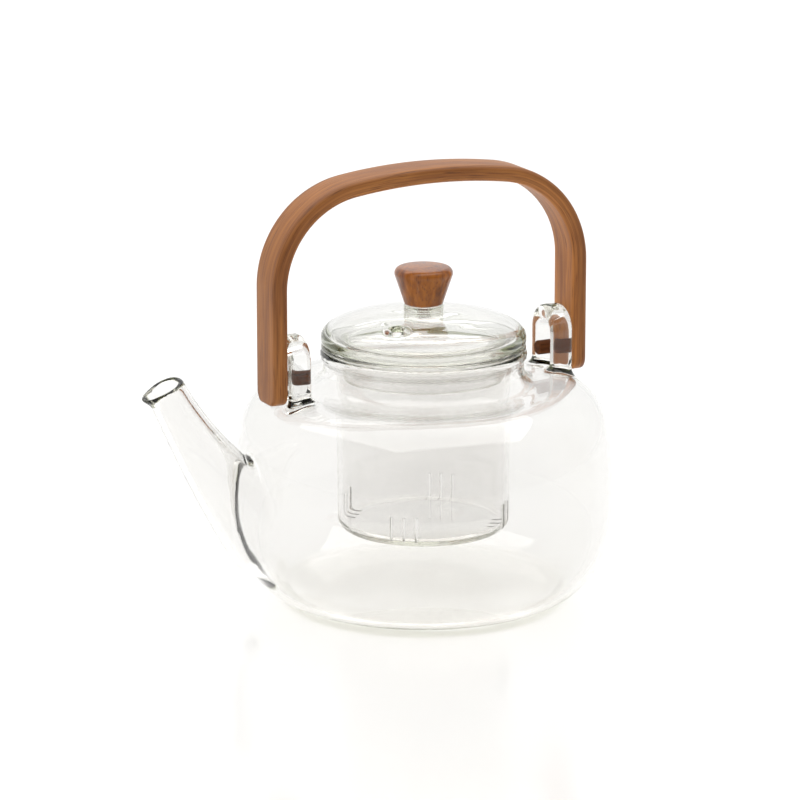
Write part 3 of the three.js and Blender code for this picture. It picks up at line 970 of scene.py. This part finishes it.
# %% [markdown]
# The lid is a thin dome that folds back under itself at the rim, runs in as a flat brim and
# turns down into the skirt that drops into the cup. On top are a ridged boss for
# the knob and a vent. All but the vent is round, so it is turned from one fine outline.

# %% Outline of the lid
LID_RIM = 3.8
LID_RISE = 9.6
DOME_SQUARENESS = 2.4
LID_GLASS = 2.5
SKIRT_GAP = 1.0
SKIRT_WALL = 2.2
SKIRT_FILLET = 1.2
BRIM_THICKNESS = 2.3
BRIM_FOLD = 0.6
BRIM_ROUND = 0.9
BOSS_RADIUS = 7.4
BOSS_HEIGHT = 3.0
BOSS_RIDGES = 2.5
BOSS_RIDGE_DEPTH = 0.35
BOSS_FILLET = 0.9
BOSS_EDGE = 0.5
DOWEL_CLEARANCE = 0.3
SOCKET_BEVEL = 0.3
LID_SIDES = 200
FIFTHS = (0.2, 0.4, 0.6, 0.8)

lid_rim_radius = lid_high.x
rim_middle = lid_high.z - BOSS_HEIGHT - LID_RISE
lid_seat = rim_middle - LID_RIM / 2
skirt_radius = cup_inner - SKIRT_GAP
dowel_radius = dowel_high.x


def dome_height(share, rise):
    return rise * max(0.0, 1 - share ** DOME_SQUARENESS) ** (1 / DOME_SQUARENESS)


def dome(radius, rise, start, end, steps=40):
    """A stretch of a dome's outline, with its points closer together near the rim."""
    first, last = math.asin(min(1, start / radius)), math.asin(min(1, end / radius))
    points = []
    for i in range(steps + 1):
        r = radius * math.sin(first + (last - first) * i / steps)
        points.append((r, rim_middle + dome_height(min(r / radius, 1), rise)))
    return points


def boss_side(steps=50):
    points = []
    for i in range(steps + 1):
        share = i / steps
        ridge = BOSS_RIDGE_DEPTH * (math.cos(share * BOSS_RIDGES * 2 * math.pi) - 1)
        points.append((BOSS_RADIUS + ridge, lid_high.z - BOSS_EDGE - share * (BOSS_HEIGHT - 2 * BOSS_EDGE)))
    return points


def lid_outline():
    socket = dowel_radius + DOWEL_CLEARANCE
    socket_floor = dowel_low.z - DOWEL_CLEARANCE
    rim_centre = (lid_rim_radius - LID_RIM / 2, rim_middle)
    skirt_inner = skirt_radius - SKIRT_WALL
    skirt_end = (skirt_radius - SKIRT_WALL / 2, lid_low.z + SKIRT_WALL / 2)
    under_radius, under_rise = lid_rim_radius - LID_GLASS, LID_RISE - LID_GLASS
    brim_top = lid_seat + BRIM_THICKNESS
    fold = (under_radius - BRIM_FOLD - BRIM_ROUND, brim_top + BRIM_ROUND)
    foot = BOSS_RADIUS - 2 * BOSS_RIDGE_DEPTH + BOSS_FILLET
    foot_height = rim_middle + dome_height(foot / lid_rim_radius, LID_RISE) + BOSS_FILLET
    outer_wall = [skirt_end[1] + (lid_seat - SKIRT_FILLET - skirt_end[1]) * t for t in FIFTHS]
    inner_wall = [skirt_end[1] + (brim_top - SKIRT_FILLET - skirt_end[1]) * t for t in FIFTHS]
    return (
        [(0, socket_floor), (socket, socket_floor)]
        + [(socket, lid_high.z - SOCKET_BEVEL), (socket + SOCKET_BEVEL, lid_high.z)]
        + arc((BOSS_RADIUS - BOSS_EDGE, lid_high.z - BOSS_EDGE), BOSS_EDGE, 90, 10, 5)
        + boss_side()
        + arc((foot, foot_height), BOSS_FILLET, 190, 262, 6)
        + dome(lid_rim_radius, LID_RISE, foot, lid_rim_radius)
        + arc(rim_centre, LID_RIM / 2, -8, -90, 14)
        + arc((skirt_radius + SKIRT_FILLET, lid_seat - SKIRT_FILLET), SKIRT_FILLET, 90, 180, 8)
        + [(skirt_radius, z) for z in reversed(outer_wall)]
        + arc(skirt_end, SKIRT_WALL / 2, 0, -180)
        + [(skirt_inner, z) for z in inner_wall]
        + arc((skirt_inner + SKIRT_FILLET, brim_top - SKIRT_FILLET), SKIRT_FILLET, 180, 90, 8)
        + arc(fold, BRIM_ROUND, -90, 40, 8)
        + dome(under_radius, under_rise, under_radius - BRIM_FOLD - 0.4, 0, 36)
    )


lid = turned_mesh("lid", lid_outline()[::-1], LID_SIDES)
print("lid", round(2 * lid_rim_radius, 1), "mm wide, dome", LID_GLASS, "mm thick")

# %% [markdown]
# The vent is a hole with a raised ring that melts into the dome. The faces round it are
# split finer, their points are lifted by a smooth wave, and the hole is
# cut out with a round bar.

# %% Vent
VENT_PLACE_RADIUS = 24.4
VENT_TURN = math.radians(220)
VENT_RADIUS = 2.5
VENT_RING_RADIUS = 3.5
VENT_RING_HEIGHT = 0.7
VENT_RING_SPREAD = 0.85
VENT_BAR_SIDES = 48
VENT_REACH = 7.0
DOME_SLOPE = 0.17  # near the vent; it keeps the dome's underside out of the wave

vent_place = Vector((math.cos(VENT_TURN), math.sin(VENT_TURN))) * VENT_PLACE_RADIUS


def split_round_vent(piece):
    shape = bmesh.new()
    shape.from_mesh(piece.data)
    near = [
        edge for edge in shape.edges
        if all((v.co.xy / MM - vent_place).length < VENT_REACH and v.co.z > rim_middle * MM
               for v in edge.verts)
    ]
    bmesh.ops.subdivide_edges(shape, edges=near, cuts=1, use_grid_fill=True)
    shape.to_mesh(piece.data)
    shape.free()


def raise_ring(piece):
    top_side = rim_middle + dome_height(VENT_PLACE_RADIUS / lid_rim_radius, LID_RISE) - LID_GLASS / 2
    for vertex in piece.data.vertices:
        away = (vertex.co.xy / MM - vent_place).length
        if away > VENT_REACH or vertex.co.z < (top_side - DOME_SLOPE * (away + 1)) * MM:
            continue
        wave = math.exp(-(((away - VENT_RING_RADIUS) / VENT_RING_SPREAD) ** 2))
        vertex.co.z += VENT_RING_HEIGHT * wave * MM


def round_bar(name, centre, radius, low, high, sides):
    outline = [(0, low), (radius, low), (radius, high), (0, high)]
    bar = turned_mesh(name, outline, sides)
    bar.data.transform(Matrix.Translation((centre.x * MM, centre.y * MM, 0)))
    return bar


split_round_vent(lid)
raise_ring(lid)
vent_bar = round_bar("vent bar", vent_place, VENT_RADIUS, rim_middle, lid_high.z, VENT_BAR_SIDES)
cut_away(lid, vent_bar)
sharpen_edges(lid, 50)
lid.data.materials.clear()
lid.data.materials.append(lid_glass)
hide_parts("lid")
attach(lid, "lid")
print("lid:", len(lid.data.polygons), "faces,", open_edges(lid), "open edges")

# %% [markdown]
# Wood is grain: long streaks along the fibres, slower changes of tone across them,
# and open pores. One shader group makes all three from a set of fibre coordinates, and each
# wood uses it with its own colours and scale.

# %% Wood grain group
def colour_mix(tree, factor, a, b, place, blend="MIX"):
    node = new_node(tree, "ShaderNodeMix", place, data_type="RGBA", blend_type=blend)
    feed(tree, (node.inputs["Factor"], node.inputs[6], node.inputs[7]), (factor, a, b))
    return node.outputs[2]


def noise(tree, vector, scale, detail, place, stretch=None):
    if stretch is not None:
        squeeze = new_node(tree, "ShaderNodeMapping", (place[0] - 200, place[1]), vector_type="POINT")
        squeeze.inputs["Scale"].default_value = stretch
        tree.links.new(vector, squeeze.inputs["Vector"])
        vector = squeeze.outputs[0]
    node = new_node(tree, "ShaderNodeTexNoise", place)
    node.inputs["Detail"].default_value = detail
    feed(tree, (node.inputs["Vector"], node.inputs["Scale"]), (vector, scale))
    return node.outputs["Fac"]


def sharpen(tree, value, low, high, place):
    node = new_node(tree, "ShaderNodeMapRange", place)
    set_inputs(node, {"From Min": low, "From Max": high})
    tree.links.new(value, node.inputs["Value"])
    return node.outputs["Result"]


def make_grain():
    """Fibre coordinates run along X; the other two axes cross the fibres."""
    tree = bpy.data.node_groups.new("wood grain", "ShaderNodeTree")
    tones = ["Dark", "Light", "Pore"]
    add_sockets(tree, "INPUT", Vector="Fibres", Color=tones, Float="Streaks per metre")
    add_sockets(tree, "OUTPUT", Color="Color", Float=["Roughness", "Height"])
    given = new_node(tree, "NodeGroupInput", (-1200, 0)).outputs
    fibres = given["Fibres"]
    streak_scale = given["Streaks per metre"]
    streaks = noise(tree, fibres, streak_scale, 4, (-700, 300), (0.05, 1, 1))
    band_scale = math_node(tree, "MULTIPLY", streak_scale, 0.18)
    pore_scale = math_node(tree, "MULTIPLY", streak_scale, 3.2)
    bands = noise(tree, fibres, band_scale, 2, (-700, 0), (0.12, 1, 1))
    pores = noise(tree, fibres, pore_scale, 1, (-700, -300), (0.035, 1, 1))
    tone = math_node(tree, "ADD", math_node(tree, "MULTIPLY", streaks, 0.55),
                     math_node(tree, "MULTIPLY", bands, 0.45), (-400, 200))
    tone = sharpen(tree, tone, 0.36, 0.64, (-200, 200))
    pore = sharpen(tree, pores, 0.60, 0.72, (-400, -300))
    wood = colour_mix(tree, tone, given["Dark"], given["Light"], (0, 200))
    wood = colour_mix(tree, math_node(tree, "MULTIPLY", pore, 0.6), wood, given["Pore"], (200, 200))
    rough = math_node(tree, "ADD", math_node(tree, "MULTIPLY", streaks, 0.2), 0.42, (200, 0))
    height = math_node(tree, "SUBTRACT", math_node(tree, "MULTIPLY", streaks, 0.5), pore, (200, -200))
    result = new_node(tree, "NodeGroupOutput", (500, 0))
    tree.links.new(wood, result.inputs["Color"])
    tree.links.new(rough, result.inputs["Roughness"])
    tree.links.new(height, result.inputs["Height"])
    return tree


grain = make_grain()


def wood(name, dark, light, pore, streaks, bump_height, coat=0.0, coat_roughness=0.3):
    """A material with the grain group; returns it with its tree, group and shader nodes."""
    material, tree, shader = new_material(name)
    fibre = new_node(tree, "ShaderNodeGroup", (-500, 0), node_tree=grain)
    set_inputs(fibre, {
        "Dark": (*dark, 1),
        "Light": (*light, 1),
        "Pore": (*pore, 1),
        "Streaks per metre": streaks,
    })
    bump = new_node(tree, "ShaderNodeBump", (-250, -300))
    set_inputs(bump, {"Distance": bump_height, "Strength": 0.6})
    set_inputs(shader, {
        "Coat Weight": coat,
        "Coat Roughness": coat_roughness,
        "Specular IOR Level": 0.25,
    })
    wire(tree, fibre, "Roughness", shader, "Roughness")
    wire(tree, fibre, "Color", shader, "Base Color")
    wire(tree, fibre, "Height", bump, "Height")
    wire(tree, bump, "Normal", shader, "Normal")
    return material, tree, fibre, shader


print("grain group ready")

# %% [markdown]
# The knob is turned from a short end of hardwood with the fibres upright, so its sides show
# upright streaks and its flat top shows end grain. Its fibre coordinates are
# the object's own, with the upright axis put first.

# %% Knob
KNOB_BASE_RADIUS = 7.3
KNOB_EDGE = 2.4
KNOB_FOOT_EDGE = 0.8
KNOB_CROWN = 0.35
KNOB_SIDES = 96


def knob_outline():
    top, bottom = knob_high.z, knob_low.z
    edge = (knob_high.x - KNOB_EDGE, top - KNOB_CROWN - KNOB_EDGE)
    foot = (KNOB_BASE_RADIUS - KNOB_FOOT_EDGE, bottom + KNOB_FOOT_EDGE)
    socket = dowel_radius + DOWEL_CLEARANCE
    socket_top = dowel_high.z + DOWEL_CLEARANCE
    foot_arc = arc(foot, KNOB_FOOT_EDGE, 270, 345, 6)
    edge_arc = arc(edge, KNOB_EDGE, -15, 86, 14)
    start, end = foot_arc[-1], edge_arc[0]
    side = [
        (start[0] + (end[0] - start[0]) * t, start[1] + (end[1] - start[1]) * t)
        for t in FIFTHS
    ]
    crown = [(edge_arc[-1][0] * s, top - KNOB_CROWN * s * s) for s in reversed(FIFTHS)]
    return (
        [(0, socket_top), (socket * 0.9, socket_top), (socket, socket_top - 0.3), (socket, bottom + 0.2)]
        + foot_arc + side + edge_arc + crown + [(0, top)]
    )


def upright_fibres(tree, group):
    where = new_node(tree, "ShaderNodeTexCoord", (-1100, 0))
    turn = new_node(tree, "ShaderNodeMapping", (-900, 0), vector_type="POINT")
    turn.inputs["Rotation"].default_value = (0, math.radians(90), 0)
    wire(tree, where, "Object", turn, "Vector")
    wire(tree, turn, 0, group, "Fibres")


knob = turned_mesh("knob", knob_outline(), KNOB_SIDES)
knob_wood, tree, fibre, shader = wood(
    "knob wood", (0.15, 0.036, 0.003), (0.42, 0.130, 0.008), (0.07, 0.016, 0.002),
    640.0, 0.00010, 0.7, 0.14)
upright_fibres(tree, fibre)
knob.data.materials.append(knob_wood)
sharpen_edges(knob, 60)
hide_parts("knob")
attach(knob, "lid")
print("knob", round(2 * knob_high.x, 1), "mm wide")

# %% [markdown]
# The dowel that holds the knob is a short round stick with rings cut round it, which the
# glue grips. It shows through the glass boss as a dark banded stem.

# %% Knob dowel
DOWEL_GROOVES = 7
DOWEL_GROOVE_DEPTH = 0.3
DOWEL_SIDES = 48


def dowel_outline():
    bottom, top = dowel_low.z, dowel_high.z
    steps = 10 * DOWEL_GROOVES
    points = [(0, bottom)]
    for i in range(steps + 1):
        share = i / steps
        swing = (1 - math.cos(share * DOWEL_GROOVES * 2 * math.pi)) / 2
        radius = dowel_radius - DOWEL_GROOVE_DEPTH * (1 - swing ** 0.6)
        points.append((radius, bottom + share * (top - bottom)))
    return points + [(0, top)]


dowel = turned_mesh("knob_dowel", dowel_outline(), DOWEL_SIDES)
dowel_wood, tree, fibre, shader = wood(
    "dowel wood", (0.09, 0.036, 0.014), (0.20, 0.085, 0.034), (0.04, 0.015, 0.006), 700.0, 0.00005)
upright_fibres(tree, fibre)
dowel.data.materials.append(dowel_wood)
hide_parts("knob_dowel")
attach(dowel, "lid")
print("dowel with", DOWEL_GROOVES, "rings")

# %% [markdown]
# The bail is a flat strip of laminated wood, steamed and bent. A strip that follows a
# path is a sweep, so geometry nodes carry a rounded rectangle along the bail's middle line. They
# also store how far along and across the strip each point is: that is what the
# grain follows round the bends.

# %% Path of the bail
HANDLE_THICKNESS = 6.0
HANDLE_EDGE = 2.0
HANDLE_END_ROUND = 5.0
HANDLE_END_EDGE = 0.8
HANDLE_CORNER = 36.0
HANDLE_CROWN = 210.0
BEND_STEPS = 40
CROWN_STEPS = 28
ARM_STEPS = 16
END_STEPS = 14


def bail_path():
    half = HANDLE_THICKNESS / 2
    arm_x = handle_high.x - half
    bend_x = arm_x - HANDLE_CORNER
    crown_z = handle_high.z - half - HANDLE_CROWN
    drop = math.sqrt((HANDLE_CROWN - HANDLE_CORNER) ** 2 - bend_x ** 2)
    bend_z = crown_z + drop
    lean = math.degrees(math.atan2(drop, bend_x))
    end = handle_low.z
    near_end = [end + HANDLE_END_ROUND * (i / END_STEPS) ** 2 for i in range(END_STEPS)]
    start = end + HANDLE_END_ROUND
    arm = [start + (bend_z - start) * i / ARM_STEPS for i in range(ARM_STEPS)]
    right_side = [(arm_x, z) for z in near_end + arm]
    right_side += arc((bend_x, bend_z), HANDLE_CORNER, 0, lean, BEND_STEPS)
    crown = arc((0, crown_z), HANDLE_CROWN, lean, 180 - lean, CROWN_STEPS)
    return right_side + crown[1:-1] + [(-x, z) for x, z in reversed(right_side)]


def path_object(name, points):
    curve = bpy.data.curves.new(name, "CURVE")
    curve.dimensions = "3D"
    spline = curve.splines.new("POLY")
    spline.points.add(len(points) - 1)
    for spot, (x, z) in zip(spline.points, points):
        spot.co = (x * MM, 0, z * MM, 1)
    return put_in_scene(name, curve)


bail_line = path_object("handle", bail_path())
print("bail path", len(bail_path()), "points")

# %% [markdown]
# The tree of nodes has named inputs for the width, the thickness and the round edge of the
# strip. The two stored attributes are written before the sweep, because afterwards
# nothing is left of the path and of the section they are measured on.

# %% Strip by geometry nodes
def strip_tree():
    tree = bpy.data.node_groups.new("strip along a path", "GeometryNodeTree")
    sizes = ["Width", "Thickness", "Edge"]
    add_sockets(tree, "INPUT", Geometry="Path", Float=sizes, Material="Wood")
    add_sockets(tree, "OUTPUT", Geometry="Strip")
    link = tree.links.new
    given = new_node(tree, "NodeGroupInput", (-1200, 0)).outputs
    upright = new_node(tree, "GeometryNodeSetCurveNormal", (-900, 200), mode="FREE")
    upright.inputs["Normal"].default_value = (0, 1, 0)
    link(given["Path"], upright.inputs["Curve"])
    length = new_node(tree, "GeometryNodeSplineParameter", (-900, 400))
    along = new_node(tree, "GeometryNodeStoreNamedAttribute", (-600, 200),
                     data_type="FLOAT", domain="POINT")
    along.inputs["Name"].default_value = "along"
    wire(tree, upright, 0, along, "Geometry")
    wire(tree, length, "Length", along, "Value")
    outline = new_node(tree, "GeometryNodeCurvePrimitiveQuadrilateral", (-900, -100))
    link(given["Width"], outline.inputs["Width"])
    link(given["Thickness"], outline.inputs["Height"])
    rounded = new_node(tree, "GeometryNodeFilletCurve", (-700, -100), mode="POLY")
    rounded.inputs["Count"].default_value = 6
    wire(tree, outline, 0, rounded, "Curve")
    link(given["Edge"], rounded.inputs["Radius"])
    spot = new_node(tree, "GeometryNodeInputPosition", (-700, -300))
    across = new_node(tree, "GeometryNodeStoreNamedAttribute", (-400, -100),
                      data_type="FLOAT_VECTOR", domain="POINT")
    across.inputs["Name"].default_value = "across"
    wire(tree, rounded, 0, across, "Geometry")
    wire(tree, spot, 0, across, "Value")
    sweep = new_node(tree, "GeometryNodeCurveToMesh", (-200, 100))
    sweep.inputs["Fill Caps"].default_value = True
    wire(tree, along, 0, sweep, "Curve")
    wire(tree, across, 0, sweep, "Profile Curve")
    smooth = new_node(tree, "GeometryNodeSetShadeSmooth", (0, 100))
    whole = new_node(tree, "GeometryNodeRealizeInstances", (200, 100))
    finish = new_node(tree, "GeometryNodeSetMaterial", (400, 100))
    wire(tree, sweep, 0, smooth, "Geometry")
    wire(tree, smooth, 0, whole, 0)
    wire(tree, whole, 0, finish, "Geometry")
    link(given["Wood"], finish.inputs["Material"])
    link(finish.outputs[0], new_node(tree, "NodeGroupOutput", (600, 0)).inputs[0])
    return tree


# %% [markdown]
# The strip is glued up from thin layers, and on its narrow sides their edges show as
# lines: each layer has a tone of its own, with a dark thread of glue between them. The group
# below works that out from the depth in the strip.

# %% Handle wood with its layers
LAYERS = 6


def make_layers():
    tree = bpy.data.node_groups.new("glued layers", "ShaderNodeTree")
    places = ["Depth", "Layers per metre", "Wander"]
    add_sockets(tree, "INPUT", Color=["Wood", "Glue"], Float=places)
    add_sockets(tree, "OUTPUT", Color="Color")
    given = new_node(tree, "NodeGroupInput", (-1000, 0)).outputs
    count = math_node(tree, "MULTIPLY", given["Depth"], given["Layers per metre"], (-800, 0))
    count = math_node(tree, "ADD", count, given["Wander"], (-650, 0))
    layer = math_node(tree, "FLOOR", count, None, (-500, 100))
    part = math_node(tree, "FRACT", count, None, (-500, -100))
    tone = new_node(tree, "ShaderNodeTexWhiteNoise", (-300, 200), noise_dimensions="1D")
    tree.links.new(layer, tone.inputs["W"])
    from_middle = math_node(tree, "ABSOLUTE", math_node(tree, "SUBTRACT", part, 0.5), None, (-200, -100))
    line = sharpen(tree, from_middle, 0.40, 0.5, (0, -100))
    shade = sharpen(tree, tone.outputs["Value"], -2.5, 1.0, (-100, 200))
    toned = colour_mix(tree, 1.0, given["Wood"], shade, (100, 200), "MULTIPLY")
    lined = colour_mix(tree, math_node(tree, "MULTIPLY", line, 0.55), toned, given["Glue"], (300, 100))
    result = new_node(tree, "NodeGroupOutput", (500, 0))
    tree.links.new(lined, result.inputs["Color"])
    return tree


handle_wood, tree, fibre, shader = wood(
    "handle wood", (0.27, 0.090, 0.021), (0.52, 0.204, 0.052), (0.12, 0.034, 0.008),
    800.0, 0.00010, 0.15)
along = new_node(tree, "ShaderNodeAttribute", (-1300, 100), attribute_name="along")
across = new_node(tree, "ShaderNodeAttribute", (-1300, -100), attribute_name="across")
sides = new_node(tree, "ShaderNodeSeparateXYZ", (-1100, -100))
wire(tree, across, "Vector", sides, 0)
fibre_place = joined_vector(
    tree, along.outputs["Fac"], sides.outputs["X"], sides.outputs["Y"], (-800, 0))
tree.links.new(fibre_place, fibre.inputs["Fibres"])
layered = new_node(tree, "ShaderNodeGroup", (-250, 150), node_tree=make_layers())
set_inputs(layered, {
    "Layers per metre": LAYERS / (HANDLE_THICKNESS * MM),
    "Glue": (0.10, 0.034, 0.012, 1),
})
drift = noise(tree, fibre_place, 60.0, 1, (-500, 300), (0.3, 1, 1))
tree.links.new(drift, layered.inputs["Wander"])
wire(tree, sides, "Y", layered, "Depth")
wire(tree, fibre, "Color", layered, "Wood")
wire(tree, layered, "Color", shader, "Base Color")
print("handle wood in", LAYERS, "layers")

# %% [markdown]
# Now the tree is run on the bail's line. Its result is a plain mesh with the two attributes
# in it, and the line itself is thrown away.

# %% Sweep the strip
handle = run_nodes(bail_line, strip_tree(), {
    "Width": (handle_high.y - handle_low.y) * MM,
    "Thickness": HANDLE_THICKNESS * MM,
    "Edge": HANDLE_EDGE * MM,
    "Wood": handle_wood,
})
print("strip", len(handle.data.vertices), "points")

# %% [markdown]
# The free ends of the arms are sanded round. Each ring of points near an end is drawn in
# across its width, by the rule of a circle.

# %% Sand the ends
def inset(distance, radius):
    """How far a quarter circle of a radius draws in at a distance from the end."""
    if distance >= radius:
        return 0.0
    return radius - math.sqrt(max(0.0, radius ** 2 - (radius - distance) ** 2))


def sand_ends(piece):
    arm_x = (handle_high.x - HANDLE_THICKNESS / 2) * MM
    half_width = handle_high.y * MM
    half_thick = HANDLE_THICKNESS / 2 * MM
    for vertex in piece.data.vertices:
        up_from_end = max(0.0, vertex.co.z - handle_low.z * MM)
        if up_from_end > HANDLE_END_ROUND * MM:
            continue
        vertex.co.y *= 1 - inset(up_from_end, HANDLE_END_ROUND * MM) / half_width
        middle = math.copysign(arm_x, vertex.co.x)
        squeeze = 1 - inset(up_from_end, HANDLE_END_EDGE * MM) / half_thick
        vertex.co.x = middle + (vertex.co.x - middle) * squeeze


def outward(piece):
    """Merges doubles and turns every face outwards."""
    shape = bmesh.new()
    shape.from_mesh(piece.data)
    bmesh.ops.remove_doubles(shape, verts=shape.verts, dist=1e-7)
    bmesh.ops.recalc_face_normals(shape, faces=shape.faces)
    shape.to_mesh(piece.data)
    shape.free()


sand_ends(handle)
outward(handle)
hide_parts("handle")
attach(handle, "bail")
print("handle", len(handle.data.polygons), "faces")

# %% [markdown]
# Two short pegs carry the bail in the ears. They are lathe-turned dowels with a small
# rounded edge at each end, turned upright and then laid along the bail's axis.

# %% Pegs
PEG_EDGE = 0.7
PEG_SIDES = 64


def peg_outline():
    inner, outer = peg_low.x, peg_high.x
    radius = peg_high.y
    start = arc((radius - PEG_EDGE, inner + PEG_EDGE), PEG_EDGE, 270, 360, 6)
    end = arc((radius - PEG_EDGE, outer - PEG_EDGE), PEG_EDGE, 0, 90, 4)
    body = [(radius, inner + 2 + (outer - inner - 4) * i / 6) for i in range(7)]
    return [(0, inner)] + start + body + end + [(0, outer)]


peg_wood, tree, fibre, shader = wood(
    "peg wood", (0.045, 0.013, 0.004), (0.150, 0.048, 0.014), (0.03, 0.009, 0.004),
    800.0, 0.00006)
shader.inputs["Specular IOR Level"].default_value = 0.08
where = new_node(tree, "ShaderNodeTexCoord", (-900, 0))
wire(tree, where, "Object", fibre, "Fibres")


def make_peg(name, side):
    peg = turned_mesh(name, peg_outline(), PEG_SIDES)
    lay = Matrix(((0, 0, side), (0, side, 0), (-1, 0, 0))).to_4x4()
    peg.data.transform(Matrix.Translation((0, 0, peg_z * MM)) @ lay)
    outward(peg)
    peg.data.materials.append(peg_wood)
    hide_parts(name)
    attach(peg, "bail")


make_peg("peg_rear", 1)
make_peg("peg_front", -1)
print("pegs", round(2 * peg_high.y, 1), "mm thick")
